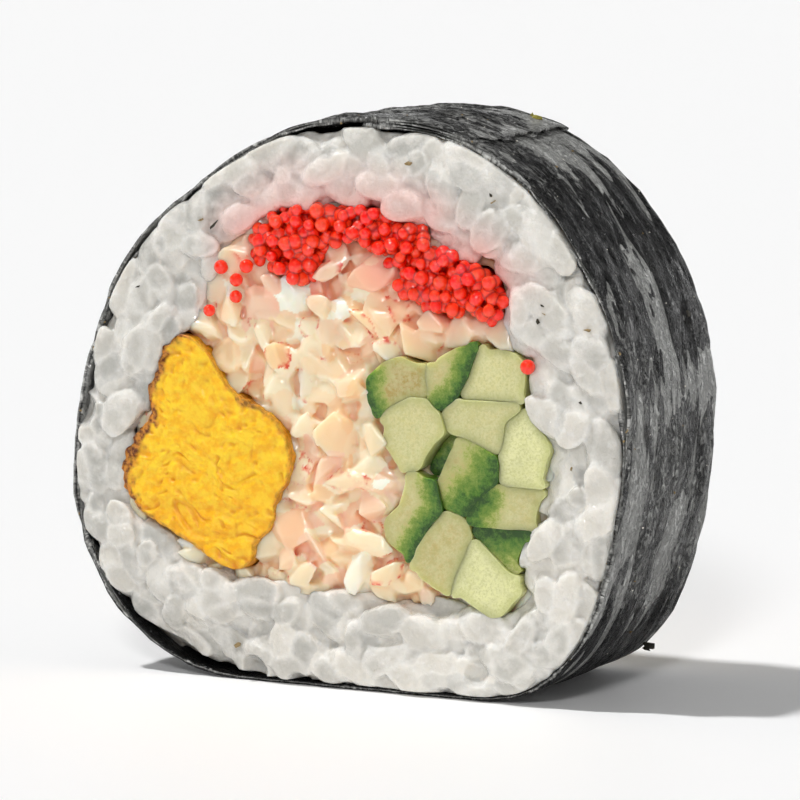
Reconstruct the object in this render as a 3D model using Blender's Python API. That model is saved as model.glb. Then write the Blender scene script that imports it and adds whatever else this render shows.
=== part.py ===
"""A slice of a thick sushi roll, standing on its rolled side.

The roll's axis lies along Y, with the shown cut at -Y, +X to the right and +Z up. The origin is on the
surface that the slice stands on, under the middle of the slice. Outlines are read on the shown cut, as
(x, z) in millimetres for a roll 50 mm wide, and the filling runs through from one cut to the other.
"""

import math
import random

import bmesh
import bpy
import numpy as np
from mathutils import Euler, Matrix, Vector, noise

# Driving dimensions, in millimetres.
MM = 0.001
ROLL_WIDTH = 50.0
READ_WIDTH = 50.0
LENGTH = 22.0
GAP = 0.3
SEED = 11

# The seaweed sheet: its thickness, how far its end laps over its start, and its waviness.
SHEET = 0.3
LAP = 11.0
LAP_GAP = 0.15
LAP_RISE = 9.0
SHEET_WAVE = 0.28
SHEET_WAVE_LENGTH = 6.0
EDGE_RAG = 0.2

# Cooked grains, roe beads and flakes, as half sizes, and how far each may stand out of the cut.
GRAIN = (2.6, 1.2, 1.05)
GRAIN_SPACING = 2.75
GRAIN_PROUD = (0.6, 1.2)
BEAD = 0.62
BEAD_SPACING = 1.22
BEAD_PROUD = (0.3, 0.75)
FLAKE = (1.75, 1.2, 0.85)
FLAKE_SPACING = 2.6
FLAKE_PROUD = (0.3, 1.1)
CUT_RELIEF = 0.3
CUT_RELIEF_LENGTH = 2.2
# Noise of height 1 stays within about this much.
NOISE_REACH = 0.6
# How far the bare cores of the roe and the crab meat lie below the cut, and the roe's inside its outline.
ROE_SINK = 0.35
ROE_INSET = 0.25
CRAB_SINK = 0.1

# The omelette's cut: rings at these shares of its outline, each standing out this far, and its middle.
OMELETTE_MIDDLE = (-12.2, 17.6)
OMELETTE_CUT = ((0.35, 0.55), (0.72, 0.5), (0.94, 0.3), (1.0, 0.0))
OMELETTE_CROWN = 0.6
OMELETTE_CRAG = 0.16

# The batons: each lies this far inside its outline, with its edges cut back this much.
BATON_INSET = 0.18
BATON_EDGE = 0.22

# The rice's ring is built on this many spokes, from this point of the cut.
SPOKES = 72
ROLL_MIDDLE = (0.0, 24.0)

SCALE = ROLL_WIDTH / READ_WIDTH
HALF = LENGTH / 2

# The roll's outer outline. It starts where the sheet's end laps over, and has its flat on z = 0.
ROLL_OUTLINE = [
    (10.6, 46.0), (5.5, 47.2), (0.0, 47.3), (-6.0, 46.3), (-11.0, 43.7), (-15.6, 40.2), (-19.6, 36.0),
    (-22.2, 31.2), (-23.9, 25.6), (-24.9, 19.6), (-24.8, 14.4), (-23.0, 9.0), (-19.4, 4.1), (-14.6, 1.0),
    (-9.6, 0.0), (-4.8, 0.0), (0.0, 0.0), (4.8, 0.0), (9.6, 0.0), (14.4, 0.1), (18.6, 1.8), (21.8, 5.7),
    (23.6, 10.9), (24.7, 16.6), (25.0, 22.4), (24.4, 28.2), (22.6, 33.8), (19.4, 38.8), (15.6, 43.0),
]

# The rice's inner edge, round all of the filling.
FILLING_OUTLINE = [
    (4.4, 39.9), (2.2, 40.8), (-1.0, 40.5), (-4.8, 40.8), (-7.2, 40.0), (-9.4, 38.2), (-12.0, 35.4),
    (-13.8, 32.2), (-14.7, 29.8), (-17.0, 28.2), (-18.3, 25.0), (-18.9, 22.3), (-20.0, 20.0),
    (-20.7, 17.2), (-19.9, 14.2), (-17.4, 12.0), (-15.0, 10.2), (-12.2, 8.8), (-8.0, 8.1), (-3.0, 7.7),
    (2.0, 7.4), (7.0, 7.6), (10.8, 7.2), (14.2, 6.5), (17.1, 9.4), (16.4, 11.8), (17.6, 14.4),
    (18.4, 18.0), (18.9, 21.6), (17.1, 24.6), (16.6, 28.5), (14.6, 30.2), (14.3, 33.0), (13.6, 36.0),
    (11.4, 37.2), (9.4, 37.2), (7.2, 39.4),
]

OMELETTE_OUTLINE = [
    (-14.2, 28.5), (-15.3, 28.6), (-16.2, 27.7), (-16.8, 26.2), (-17.0, 25.1), (-17.7, 24.2), (-17.3, 22.3),
    (-17.4, 21.4), (-18.7, 20.3), (-19.1, 19.2), (-19.9, 17.7), (-19.8, 16.0), (-18.8, 14.4),
    (-17.0, 13.1), (-15.0, 12.1), (-13.0, 11.1), (-11.4, 10.1), (-9.6, 9.4), (-8.1, 10.3), (-7.8, 11.8),
    (-6.3, 13.4), (-6.2, 15.4), (-5.3, 17.0), (-4.9, 18.8), (-5.4, 20.5), (-6.4, 22.1), (-8.0, 23.2),
    (-10.0, 23.8), (-11.3, 25.2), (-12.6, 27.0),
]

ROE_OUTLINE = [
    (-8.6, 37.4), (-8.1, 35.8), (-6.4, 35.2), (-4.6, 33.9), (-2.9, 35.1), (-2.6, 36.5), (-1.2, 37.7),
    (1.2, 37.6), (3.0, 37.0), (4.1, 35.4), (5.0, 33.6), (6.6, 32.6), (8.8, 31.9), (10.6, 33.0),
    (12.4, 31.8), (13.5, 32.2), (13.2, 34.2), (12.2, 35.6), (10.6, 35.8), (9.2, 36.6), (7.4, 37.6),
    (6.0, 38.7), (4.4, 38.9), (2.2, 40.0), (-1.2, 39.7), (-4.9, 40.0), (-6.9, 38.9),
]

# Cucumber batons, each by its corners at the shown cut, how far it stands out there, and its slant.
BATONS = {
    "cucumber_1": ([(1.8, 26.2), (3.4, 27.6), (5.0, 28.2), (6.9, 27.6), (7.4, 25.2), (6.0, 25.0),
                    (4.0, 23.9), (2.7, 23.2), (2.1, 24.2)], -0.2, 0.10),
    "cucumber_2": ([(3.8, 23.8), (5.9, 24.9), (7.7, 24.5), (9.0, 22.8), (8.0, 20.8), (7.0, 19.3),
                    (5.0, 19.0), (3.5, 20.9)], 0.7, -0.06),
    "cucumber_3": ([(7.5, 26.8), (8.4, 28.3), (9.9, 29.2), (11.4, 29.6), (11.6, 28.7), (10.9, 26.8),
                    (9.7, 24.9), (8.6, 24.0), (7.8, 24.6)], 0.2, 0.12),
    "cucumber_4": ([(11.8, 29.0), (13.8, 29.4), (15.2, 29.1), (16.2, 28.2), (15.9, 25.2), (10.3, 25.1),
                    (11.1, 26.9)], 0.0, -0.08),
    "cucumber_5": ([(10.2, 24.9), (15.8, 25.0), (14.4, 23.4), (14.1, 21.0), (13.4, 20.9), (11.2, 21.8),
                    (9.2, 22.8), (8.9, 23.9)], 0.4, 0.05),
    "cucumber_6": ([(14.5, 23.3), (16.2, 24.3), (17.2, 23.5), (18.6, 21.5), (18.2, 20.3), (17.9, 18.2),
                    (14.2, 18.2), (14.1, 20.2)], 0.5, -0.05),
    "cucumber_7": ([(9.5, 20.4), (10.1, 21.5), (11.0, 21.7), (13.0, 20.7), (13.8, 20.1), (13.8, 18.5),
                    (12.2, 16.9), (11.2, 15.6), (10.2, 15.7), (9.1, 16.3), (8.6, 18.0)], 0.0, 0.10),
    "cucumber_8": ([(8.3, 21.0), (9.4, 21.6), (9.9, 21.5), (9.2, 20.0), (8.6, 18.5), (7.6, 18.4),
                    (7.2, 18.8), (7.6, 20.0)], -1.3, 0.0),
    "cucumber_9": ([(5.9, 18.4), (7.0, 18.2), (8.4, 18.0), (8.9, 16.3), (8.5, 15.2), (7.5, 13.9),
                    (6.8, 12.2), (6.4, 11.3), (5.0, 12.0), (3.9, 12.8), (3.7, 14.5),
                    (5.1, 15.8)], 0.1, -0.10),
    "cucumber_10": ([(14.0, 18.0), (18.0, 18.0), (17.4, 16.2), (17.3, 14.7), (15.0, 14.6), (12.0, 14.7),
                     (11.5, 15.5), (12.5, 16.8)], 0.2, 0.06),
    "cucumber_11": ([(11.6, 14.4), (14.8, 14.4), (17.1, 14.4), (16.3, 13.4), (15.8, 12.2), (15.7, 10.9),
                     (14.9, 11.3), (13.0, 13.1)], -0.3, 0.0),
    "cucumber_12": ([(8.6, 14.6), (9.5, 15.4), (10.4, 15.3), (11.6, 13.7), (11.0, 12.0), (10.2, 10.0),
                     (9.7, 8.8), (8.6, 9.1), (7.1, 10.0), (6.7, 11.2), (6.9, 12.4)], 0.6, 0.12),
    "cucumber_13": ([(11.9, 13.5), (13.8, 11.9), (15.7, 10.4), (16.6, 9.6), (15.7, 8.6), (14.6, 7.3),
                     (13.7, 7.1), (11.8, 8.1), (10.2, 9.0), (10.3, 10.1), (11.1, 12.0)], 0.9, -0.10),
}

# Roe beads that lie by themselves on the crab meat.
LOOSE_BEADS = [(-12.3, 31.0), (-9.9, 32.3), (-9.9, 33.7), (-9.0, 34.9)]

COLOURS = {
    "seaweed": ((0.020, 0.022, 0.020), 0.55),
    "rice": ((0.80, 0.82, 0.80), 0.35),
    "omelette": ((0.90, 0.52, 0.05), 0.50),
    "crab_meat": ((0.92, 0.66, 0.46), 0.40),
    "roe": ((0.80, 0.04, 0.02), 0.20),
    "cucumber": ((0.52, 0.62, 0.22), 0.30),
}


def clear_scene():
    for obj in list(bpy.data.objects):
        bpy.data.objects.remove(obj)


def material(name):
    """The Principled material of that name, made once."""
    found = bpy.data.materials.get(name)
    if found:
        return found
    colour, roughness = COLOURS[name]
    made = bpy.data.materials.new(name)
    made.use_nodes = True
    shader = made.node_tree.nodes["Principled BSDF"]
    shader.inputs["Base Color"].default_value = (*colour, 1.0)
    shader.inputs["Roughness"].default_value = roughness
    shader.inputs["Metallic"].default_value = 0.0
    return made


def closed_curve(corners, count):
    """A smooth closed outline through the corners (Catmull-Rom spans), as points an equal way apart."""
    p = anticlockwise(np.array(corners)) * SCALE
    before, after, next_after = np.roll(p, 1, 0), np.roll(p, -1, 0), np.roll(p, -2, 0)
    t = np.linspace(0, 1, 16, endpoint=False)[None, :, None]
    a, b, c, d = (q[:, None, :] for q in (before, p, after, next_after))
    spans = 0.5 * (2 * b + (c - a) * t + (2 * a - 5 * b + 4 * c - d) * t**2 + (3 * b - a - 3 * c + d) * t**3)
    return evenly(spans.reshape(-1, 2), count)


def anticlockwise(loop):
    """The loop's points in the order that keeps its inside on the left."""
    after = np.roll(loop, -1, 0)
    area = (loop[:, 0] * after[:, 1] - loop[:, 1] * after[:, 0]).sum()
    return loop if area > 0 else loop[::-1]


def evenly(loop, count):
    """The closed loop resampled at equal lengths along it."""
    closed = np.vstack([loop, loop[:1]])
    along = np.concatenate([[0.0], np.cumsum(np.hypot(*np.diff(closed, axis=0).T))])
    marks = np.linspace(0, along[-1], count, endpoint=False)
    return np.column_stack([np.interp(marks, along, closed[:, k]) for k in (0, 1)])


def offset(loop, distance):
    """The anticlockwise loop with its sides moved outwards by this much. Each point is a mitred corner."""
    run = np.roll(loop, -1, 0) - loop
    after = np.column_stack([run[:, 1], -run[:, 0]]) / np.hypot(*run.T)[:, None]
    before = np.roll(after, 1, 0)
    mitre = (before + after) / np.maximum(1.0 + (before * after).sum(1), 0.5)[:, None]
    return loop + mitre * distance


def roll_outline(count):
    """The roll's outer outline, flat where it rests."""
    loop = closed_curve(ROLL_OUTLINE, count)
    loop[:, 1] = np.maximum(loop[:, 1], 0.0)
    return loop


def filling_outline():
    """The edge between the rice and all of the filling, where the rice's spokes end."""
    angles = np.linspace(0, 2 * math.pi, SPOKES, endpoint=False)
    return at_angles(closed_curve(FILLING_OUTLINE, 480), angles, np.array(ROLL_MIDDLE) * SCALE)


def is_inside(point, loop):
    """Even-odd test: a ray to +X crosses the loop's sides an odd number of times."""
    x, z = point
    a, b = loop, np.roll(loop, -1, 0)
    crosses = (a[:, 1] > z) != (b[:, 1] > z)
    a, b = a[crosses], b[crosses]
    at = a[:, 0] + (z - a[:, 1]) / (b[:, 1] - a[:, 1]) * (b[:, 0] - a[:, 0])
    return int((at > x).sum()) % 2 == 1


def nearest(point, loop):
    """How far the point is from a loop of closely spaced points."""
    return float(np.hypot(*(loop - np.array(point)).T).min())


def at_angles(loop, angles, middle):
    """Where rays from the middle, at these angles, meet a loop that goes round it once."""
    away = loop - middle
    turn = np.unwrap(np.arctan2(away[:, 1], away[:, 0]))
    order = np.argsort(turn)
    radius = np.interp(angles, turn[order], np.hypot(*away.T)[order], period=2 * math.pi)
    return middle + radius[:, None] * np.column_stack([np.cos(angles), np.sin(angles)])


def wave(x, y, z, length, height):
    """Smooth noise of that wave length and height, in millimetres."""
    return height * noise.noise(Vector((x, y, z)) / length)


def new_object(name, finish, verts, faces):
    """An object with its origin in the middle of its points, which are given in millimetres."""
    points = np.array(verts, float)
    middle = (points.min(0) + points.max(0)) / 2
    mesh = bpy.data.meshes.new(name)
    mesh.from_pydata(((points - middle) * MM).tolist(), [], faces)
    shell = bmesh.new()
    shell.from_mesh(mesh)
    bmesh.ops.recalc_face_normals(shell, faces=shell.faces)
    shell.to_mesh(mesh)
    shell.free()
    mesh.materials.append(material(finish))
    obj = bpy.data.objects.new(name, mesh)
    obj.location = Vector(middle * MM)
    bpy.context.scene.collection.objects.link(obj)
    return obj


def tube_faces(rings, count, start=0):
    """Quads between successive closed rings of points."""
    return [
        (start + r * count + i, start + r * count + (i + 1) % count,
         start + (r + 1) * count + (i + 1) % count, start + (r + 1) * count + i)
        for r in range(rings - 1)
        for i in range(count)
    ]


def fuse(core, pieces):
    """Joins the pieces to the core with one Boolean union on a collection, and removes them."""
    group = bpy.data.collections.new(core.name + "_pieces")
    bpy.context.scene.collection.children.link(group)
    for piece in pieces:
        bpy.context.scene.collection.objects.unlink(piece)
        group.objects.link(piece)
    union = core.modifiers.new("union", "BOOLEAN")
    union.operation = "UNION"
    union.operand_type = "COLLECTION"
    union.collection = group
    union.solver = "MANIFOLD"
    apply_modifiers(core)
    for piece in pieces:
        bpy.data.objects.remove(piece)
    bpy.data.collections.remove(group)
    keep_largest(core)


def carve(core, cutter):
    """Cuts the cutter's shape from the core and removes the cutter."""
    cut = core.modifiers.new("cut", "BOOLEAN")
    cut.operation = "DIFFERENCE"
    cut.object = cutter
    cut.solver = "MANIFOLD"
    apply_modifiers(core)
    bpy.data.objects.remove(cutter)


def apply_modifiers(obj):
    """Replaces the object's mesh by the one that its modifiers make."""
    graph = bpy.context.evaluated_depsgraph_get()
    finish = obj.data.materials[0]
    made = bpy.data.meshes.new_from_object(obj.evaluated_get(graph))
    obj.modifiers.clear()
    obj.data = made
    made.materials.clear()
    made.materials.append(finish)
    made.polygons.foreach_set("material_index", [0] * len(made.polygons))


def keep_largest(obj):
    """Drops loose scraps and sealed hollows: every shell but the one with the most space inside it."""
    shell = bmesh.new()
    shell.from_mesh(obj.data)
    left, shells = set(shell.verts), []
    while left:
        found, edge = set(), [left.pop()]
        while edge:
            vert = edge.pop()
            found.add(vert)
            joined = {e.other_vert(vert) for e in vert.link_edges} - found
            edge.extend(joined & left)
            left -= joined
        shells.append(found)

    def spread(verts):
        span = [max(v.co[k] for v in verts) - min(v.co[k] for v in verts) for k in range(3)]
        return span[0] * span[1] * span[2]

    shells.sort(key=spread)
    scraps = [v for found in shells[:-1] for v in found]
    bmesh.ops.delete(shell, geom=scraps, context="VERTS")
    bmesh.ops.triangulate(shell, faces=shell.faces)
    shell.to_mesh(obj.data)
    shell.free()


def ellipsoid(finish, centre, half_sizes, turn, segments=5, rings=4):
    """A coarse closed ellipsoid: a grain, a bead or, with few sides, an angular flake."""
    ball = bmesh.new()
    bmesh.ops.create_uvsphere(ball, u_segments=segments, v_segments=rings, radius=1.0)
    shape = Matrix.Diagonal(Vector(half_sizes).to_4d())
    shape[3][3] = 1.0
    bmesh.ops.transform(ball, matrix=turn.to_4x4() @ shape, verts=ball.verts)
    verts = [tuple(v.co + Vector(centre)) for v in ball.verts]
    faces = [tuple(v.index for v in f.verts) for f in ball.faces]
    ball.free()
    return new_object("piece", finish, verts, faces)


def reach_along_y(half_sizes, turn):
    """How far a turned ellipsoid reaches from its centre along Y."""
    return math.sqrt(sum((turn[1][k] * half_sizes[k]) ** 2 for k in range(3)))


def scattered(rng, area, spacing, tries):
    """Points spread evenly at random: each new one keeps its spacing from those before it."""
    low, high = area.min(0), area.max(0)
    points = np.empty((0, 2))
    for _ in range(tries):
        point = np.array([rng.uniform(low[0], high[0]), rng.uniform(low[1], high[1])])
        if len(points) == 0 or np.hypot(*(points - point).T).min() > spacing:
            points = np.vstack([points, point])
    return points


def prism(name, finish, loop, front, back, slant=0.0):
    """A bar along Y with this outline. Its ends can lean by slant."""
    middle, count = loop[:, 1].mean(), len(loop)
    verts = [(x, y + slant * (z - middle), z) for y in (front, back) for x, z in loop]
    faces = tube_faces(2, count)
    faces.append(tuple(range(count)))
    faces.append(tuple(range(count, 2 * count)))
    return new_object(name, finish, verts, faces)


def make_seaweed():
    """One thin sheet, wound once round the rice. Its end laps over its start with a small gap."""
    loop = roll_outline(480)
    around = np.hypot(*np.diff(np.vstack([loop, loop[:1]]), axis=0).T).sum()
    stations, across = 116, 4
    outward = offset(loop, 1.0) - loop
    verts = []
    # Station 0 is the end that shows on top. The last station is the start, tucked under it.
    for distance in np.linspace(0.0, around + LAP, stations):
        at = (distance / around * len(loop)) % len(loop)
        i, share = int(at), at - int(at)
        j = (i + 1) % len(loop)
        x, z = loop[i] * (1 - share) + loop[j] * share
        nx, nz = outward[i] * (1 - share) + outward[j] * share
        lifted = min(1.0, max(0.0, (LAP + LAP_RISE - distance) / LAP_RISE))
        lift = (SHEET + LAP_GAP) * lifted
        for k in range(across):
            y = -HALF + LENGTH * k / (across - 1)
            bump = wave(x, y, z, SHEET_WAVE_LENGTH, SHEET_WAVE) * min(1.0, z / 3.0)
            if k in (0, across - 1):
                y += wave(x, 50.0 * k, z, 2.0, EDGE_RAG)
            for depth in (0.0, -SHEET):
                reach = lift + bump + depth
                verts.append((x + nx * reach, y, z + nz * reach))
    top = [[(s * across + k) * 2 for k in range(across)] for s in range(stations)]
    faces = []
    for s in range(stations - 1):
        for k in range(across - 1):
            a, b, c, d = top[s][k], top[s][k + 1], top[s + 1][k + 1], top[s + 1][k]
            faces += [(a, b, c), (a, c, d), (a + 1, c + 1, b + 1), (a + 1, d + 1, c + 1)]
        for k in (0, across - 1):
            a, b = top[s][k], top[s + 1][k]
            faces.append((a, b, b + 1, a + 1))
    for s in (0, stations - 1):
        for k in range(across - 1):
            a, b = top[s][k], top[s][k + 1]
            faces.append((a, b, b + 1, a + 1))
    return new_object("seaweed", "seaweed", verts, faces)


def grain_fits(centre, length, angle, outer, inner, width):
    """Whether a grain lying at that angle stays clear of the sheet and of the filling."""
    along = np.array([math.cos(angle), math.sin(angle)]) * (length - width)
    for share in (-1.0, -0.5, 0.0, 0.5, 1.0):
        point = centre + along * share
        if not is_inside(point, outer) or is_inside(point, inner):
            return False
        if min(nearest(point, outer), nearest(point, inner)) < width + 0.1:
            return False
    return True


def make_rice():
    """A ring of packed rice. Grains lie along the ring on both cuts, fused to its core."""
    middle = np.array(ROLL_MIDDLE) * SCALE
    spokes, bands, stations = SPOKES, 3, 3
    angles = np.linspace(0, 2 * math.pi, spokes, endpoint=False)
    wall = SHEET + GAP + SHEET_WAVE * NOISE_REACH
    outer = at_angles(offset(roll_outline(480), -wall), angles, middle)
    inner = filling_outline()
    verts = []

    def ring(loop, y, relief):
        for x, z in loop:
            verts.append((x, y + wave(x, y, z, CUT_RELIEF_LENGTH, relief), z))

    # The rings run round the ring's section: out over the front cut, back outside, in, and home inside.
    for band in range(bands + 1):
        ring(inner + (outer - inner) * band / bands, -HALF, CUT_RELIEF if 0 < band < bands else 0.0)
    for station in range(1, stations):
        ring(outer, -HALF + LENGTH * station / stations, 0.0)
    for band in range(bands, -1, -1):
        ring(inner + (outer - inner) * band / bands, HALF, CUT_RELIEF if 0 < band < bands else 0.0)
    for station in range(stations - 1, 0, -1):
        ring(inner, -HALF + LENGTH * station / stations, 0.0)
    rings = 2 * (bands + 1) + 2 * (stations - 1)
    faces = tube_faces(rings, spokes)
    last = (rings - 1) * spokes
    faces += [(last + i, last + (i + 1) % spokes, (i + 1) % spokes, i) for i in range(spokes)]
    core = new_object("rice", "rice", verts, faces)

    rng = random.Random(SEED)
    outer_edge, inner_edge = evenly(outer, 400), evenly(inner, 400)
    grains = []
    for side in (-1, 1):
        for centre in scattered(rng, outer, GRAIN_SPACING, 2600):
            size = rng.uniform(0.86, 1.08)
            length, width, thick = (s * size for s in GRAIN)
            away = centre - middle
            round_the_ring = math.atan2(away[1], away[0]) + math.pi / 2
            for turn in (rng.gauss(0.0, 0.8), 0.0):
                angle = round_the_ring + turn
                if grain_fits(centre, length, angle, outer_edge, inner_edge, width):
                    # Local X is the grain's length, laid in the cut at that angle and tilted a little.
                    lie = Euler((0.0, -angle, rng.uniform(-0.2, 0.2))).to_matrix()
                    half = (length, thick, width)
                    y = side * (HALF + rng.uniform(*GRAIN_PROUD) - reach_along_y(half, lie))
                    grains.append(ellipsoid("rice", (centre[0], y, centre[1]), half, lie))
                    break
    fuse(core, grains)
    return core


def make_omelette():
    """The rolled omelette bar: craggy, browned sides and a cut that stands a little proud."""
    loop = closed_curve(OMELETTE_OUTLINE, 50)
    middle = np.array(OMELETTE_MIDDLE) * SCALE
    verts = [(middle[0], -HALF - OMELETTE_CROWN, middle[1])]
    stations = [(share, -HALF - proud) for share, proud in OMELETTE_CUT]
    stations += [(1.0, y) for y in np.linspace(-HALF, HALF, 6)[1:-1]]
    stations += [(share, HALF + proud) for share, proud in reversed(OMELETTE_CUT)]
    for share, y in stations:
        for x, z in loop:
            away = np.array([x, z]) - middle
            on_side = share == 1.0
            crag = wave(x, y, z, CUT_RELIEF_LENGTH, OMELETTE_CRAG) / np.hypot(*away) if on_side else 0.0
            at = middle + away * share * (1.0 + crag)
            relief = 0.0 if on_side else wave(at[0], y, at[1], CUT_RELIEF_LENGTH, CUT_RELIEF)
            verts.append((at[0], y + relief, at[1]))
    verts.append((middle[0], HALF + OMELETTE_CROWN, middle[1]))
    count, last = len(loop), len(verts) - 1
    faces = tube_faces(len(stations), count, start=1)
    faces += [(0, 1 + (i + 1) % count, 1 + i) for i in range(count)]
    faces += [(last, last - count + i, last - count + (i + 1) % count) for i in range(count)]
    return new_object("omelette", "omelette", verts, faces)


def baton_outline(corners):
    return anticlockwise(np.array(corners)) * SCALE


def make_cucumber():
    """Batons cut from a cucumber, bundled side by side along the roll."""
    made = []
    for name, (corners, proud, slant) in BATONS.items():
        loop = offset(baton_outline(corners), -BATON_INSET)
        baton = prism(name, "cucumber", loop, -HALF - proud, HALF + proud, slant)
        edge = baton.modifiers.new("edge", "BEVEL")
        edge.width = BATON_EDGE * MM
        edge.segments = 1
        edge.limit_method = "ANGLE"
        edge.angle_limit = math.radians(50)
        made.append(baton)
    return made


def make_roe():
    """A layer of roe under the rice, with its beads fused over both cuts."""
    loop = closed_curve(ROE_OUTLINE, 72)
    core = prism("roe", "roe", offset(loop, -ROE_INSET), -HALF + ROE_SINK, HALF - ROE_SINK)
    edge = evenly(loop, 300)
    rng = random.Random(SEED + 1)
    beads = []
    for side in (-1, 1):
        for centre in scattered(rng, loop, BEAD_SPACING, 6000):
            size = BEAD * rng.uniform(0.9, 1.1)
            if is_inside(centre, edge) and nearest(centre, edge) > size + 0.02:
                y = side * (HALF + rng.uniform(*BEAD_PROUD) - size)
                turn = Euler((rng.uniform(0, 3), rng.uniform(0, 3), 0)).to_matrix()
                beads.append(ellipsoid("roe", (centre[0], y, centre[1]), (size,) * 3, turn))
    fuse(core, beads)
    return core


def make_crab_meat():
    """Shredded crab stick: it fills what the other fillings leave, with flakes fused on both cuts."""
    filling = filling_outline()
    ends = (-HALF + CRAB_SINK, HALF - CRAB_SINK)
    core = prism("crab_meat", "crab_meat", offset(filling, -GAP), *ends)
    neighbours = [offset(closed_curve(OMELETTE_OUTLINE, 50), GAP)]
    neighbours += [offset(closed_curve(ROE_OUTLINE, 72), GAP)]
    neighbours += [offset(baton_outline(corners), GAP - BATON_INSET) for corners, _, _ in BATONS.values()]
    walls = []
    for wall in neighbours:
        walls.append(evenly(wall, 200))
        carve(core, prism("cutter", "crab_meat", wall, -LENGTH, LENGTH))
    keep_largest(core)

    rim = evenly(filling, 400)
    rng = random.Random(SEED + 2)
    flakes = []
    for side in (-1, 1):
        for centre in scattered(rng, filling, FLAKE_SPACING, 4000):
            half = [s * rng.uniform(0.8, 1.15) for s in FLAKE]
            reach = max(half) + 0.05
            room = min([nearest(centre, rim)] + [nearest(centre, wall) for wall in walls])
            free = is_inside(centre, rim) and not any(is_inside(centre, wall) for wall in walls)
            if free and room > reach:
                turn = Euler([rng.uniform(0, math.pi) for _ in range(3)]).to_matrix()
                y = side * (HALF + rng.uniform(*FLAKE_PROUD) - reach_along_y(half, turn))
                flakes.append(ellipsoid("crab_meat", (centre[0], y, centre[1]), half, turn, 4, 3))
    for x, z in LOOSE_BEADS:
        centre = (x * SCALE, -HALF - 0.2, z * SCALE)
        flakes.append(ellipsoid("crab_meat", centre, (BEAD,) * 3, Matrix.Identity(3)))
    fuse(core, flakes)
    return core


def main():
    clear_scene()
    roll = bpy.data.objects.new("roll", None)
    bpy.context.scene.collection.objects.link(roll)
    pieces = [make_seaweed(), make_rice(), make_omelette(), make_roe(), make_crab_meat(), *make_cucumber()]
    for piece in pieces:
        piece.parent = roll


main()
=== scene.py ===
# %% [markdown]
# # A slice of a thick sushi roll
# The slice stands on its rolled side. A sheet of toasted seaweed goes once round a ring of rice, and inside
# the ring lie an omelette bar, shredded crab meat, a layer of fish roe and a bundle of cucumber batons.
# The solids of the frame give every piece its place and outline. Each cell below builds one piece or one
# finish in its real form: the frame's solids are cut across, and finer surfaces are grown on those outlines.

# %% Load the frame
import math
import bmesh
import bpy
import numpy as np
from mathutils import Matrix, Vector


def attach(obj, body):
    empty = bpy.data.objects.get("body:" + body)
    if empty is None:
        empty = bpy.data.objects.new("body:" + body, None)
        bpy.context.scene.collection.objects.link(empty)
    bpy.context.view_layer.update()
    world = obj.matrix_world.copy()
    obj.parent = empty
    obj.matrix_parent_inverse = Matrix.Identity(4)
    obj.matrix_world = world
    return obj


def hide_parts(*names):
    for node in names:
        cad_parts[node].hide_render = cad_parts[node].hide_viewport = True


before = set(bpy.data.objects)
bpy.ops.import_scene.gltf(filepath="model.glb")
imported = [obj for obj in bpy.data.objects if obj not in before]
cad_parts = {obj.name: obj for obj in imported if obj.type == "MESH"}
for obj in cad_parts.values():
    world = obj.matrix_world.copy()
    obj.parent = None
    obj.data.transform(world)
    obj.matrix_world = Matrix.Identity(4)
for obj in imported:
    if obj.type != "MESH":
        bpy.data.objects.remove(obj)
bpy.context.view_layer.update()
MM = 0.001
print("nodes in the frame:", len(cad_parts))

# %% [markdown]
# ## Reading the outlines
# All of the filling runs straight through the roll, so one cut across the middle of a solid gives the outline
# of the whole piece. Every triangle that crosses the plane gives one short line from the edge where it climbs
# through the plane to the edge where it comes back, and the lines chain into closed loops.

# %% Cut a node across
def section(node, y=0.0):
    """The closed loops, as (x, z) in millimetres, where the plane at this y cuts a node, longest first.
    A loop's point is where an edge from a to b meets the plane: a + (b - a) * (y - a.y) / (b.y - a.y)."""
    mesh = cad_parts[node].data
    points = np.empty(len(mesh.vertices) * 3)
    mesh.vertices.foreach_get("co", points)
    mesh.calc_loop_triangles()
    triangles = np.empty(len(mesh.loop_triangles) * 3, np.int32)
    mesh.loop_triangles.foreach_get("vertices", triangles)
    points, index = np.unique(np.round(points.reshape(-1, 3) / MM, 3), axis=0, return_inverse=True)
    triangles = index.reshape(-1)[triangles].reshape(-1, 3)
    above = points[:, 1] > y
    follows = {}
    for corners in triangles[above[triangles].any(1) & ~above[triangles].all(1)]:
        edges = [(corners[k], corners[(k + 1) % 3]) for k in range(3)]
        up = next(e for e in edges if not above[e[0]] and above[e[1]])
        down = next(e for e in edges if above[e[0]] and not above[e[1]])
        follows[tuple(sorted(up))] = tuple(sorted(down))
    loops = []
    while follows:
        chain = [next(iter(follows))]
        while chain[-1] in follows:
            chain.append(follows.pop(chain[-1]))
        a, b = points[[e[0] for e in chain[:-1]]], points[[e[1] for e in chain[:-1]]]
        share = (y - a[:, 1]) / (b[:, 1] - a[:, 1])
        loops.append((a + (b - a) * share[:, None])[:, [0, 2]])
    return sorted(loops, key=lambda loop: -around(loop))


def around(loop):
    """The length of a closed loop."""
    return np.hypot(*(np.roll(loop, -1, 0) - loop).T).sum()


# %% Work with outlines
def anticlockwise(loop):
    """The loop turned to run anticlockwise, where the sum of x * dz - z * dx, twice its area, is over 0."""
    after = np.roll(loop, -1, 0)
    return loop if (loop[:, 0] * after[:, 1] - loop[:, 1] * after[:, 0]).sum() > 0 else loop[::-1]


def evenly(line, count, closed=True):
    """The line resampled to points an equal length apart, by interpolating along its length."""
    line = np.vstack([line, line[:1]]) if closed else line
    along = np.concatenate([[0.0], np.cumsum(np.hypot(*np.diff(line, axis=0).T))])
    marks = np.linspace(0.0, along[-1], count, endpoint=not closed)
    return np.column_stack([np.interp(marks, along, line[:, k]) for k in (0, 1)])


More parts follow.
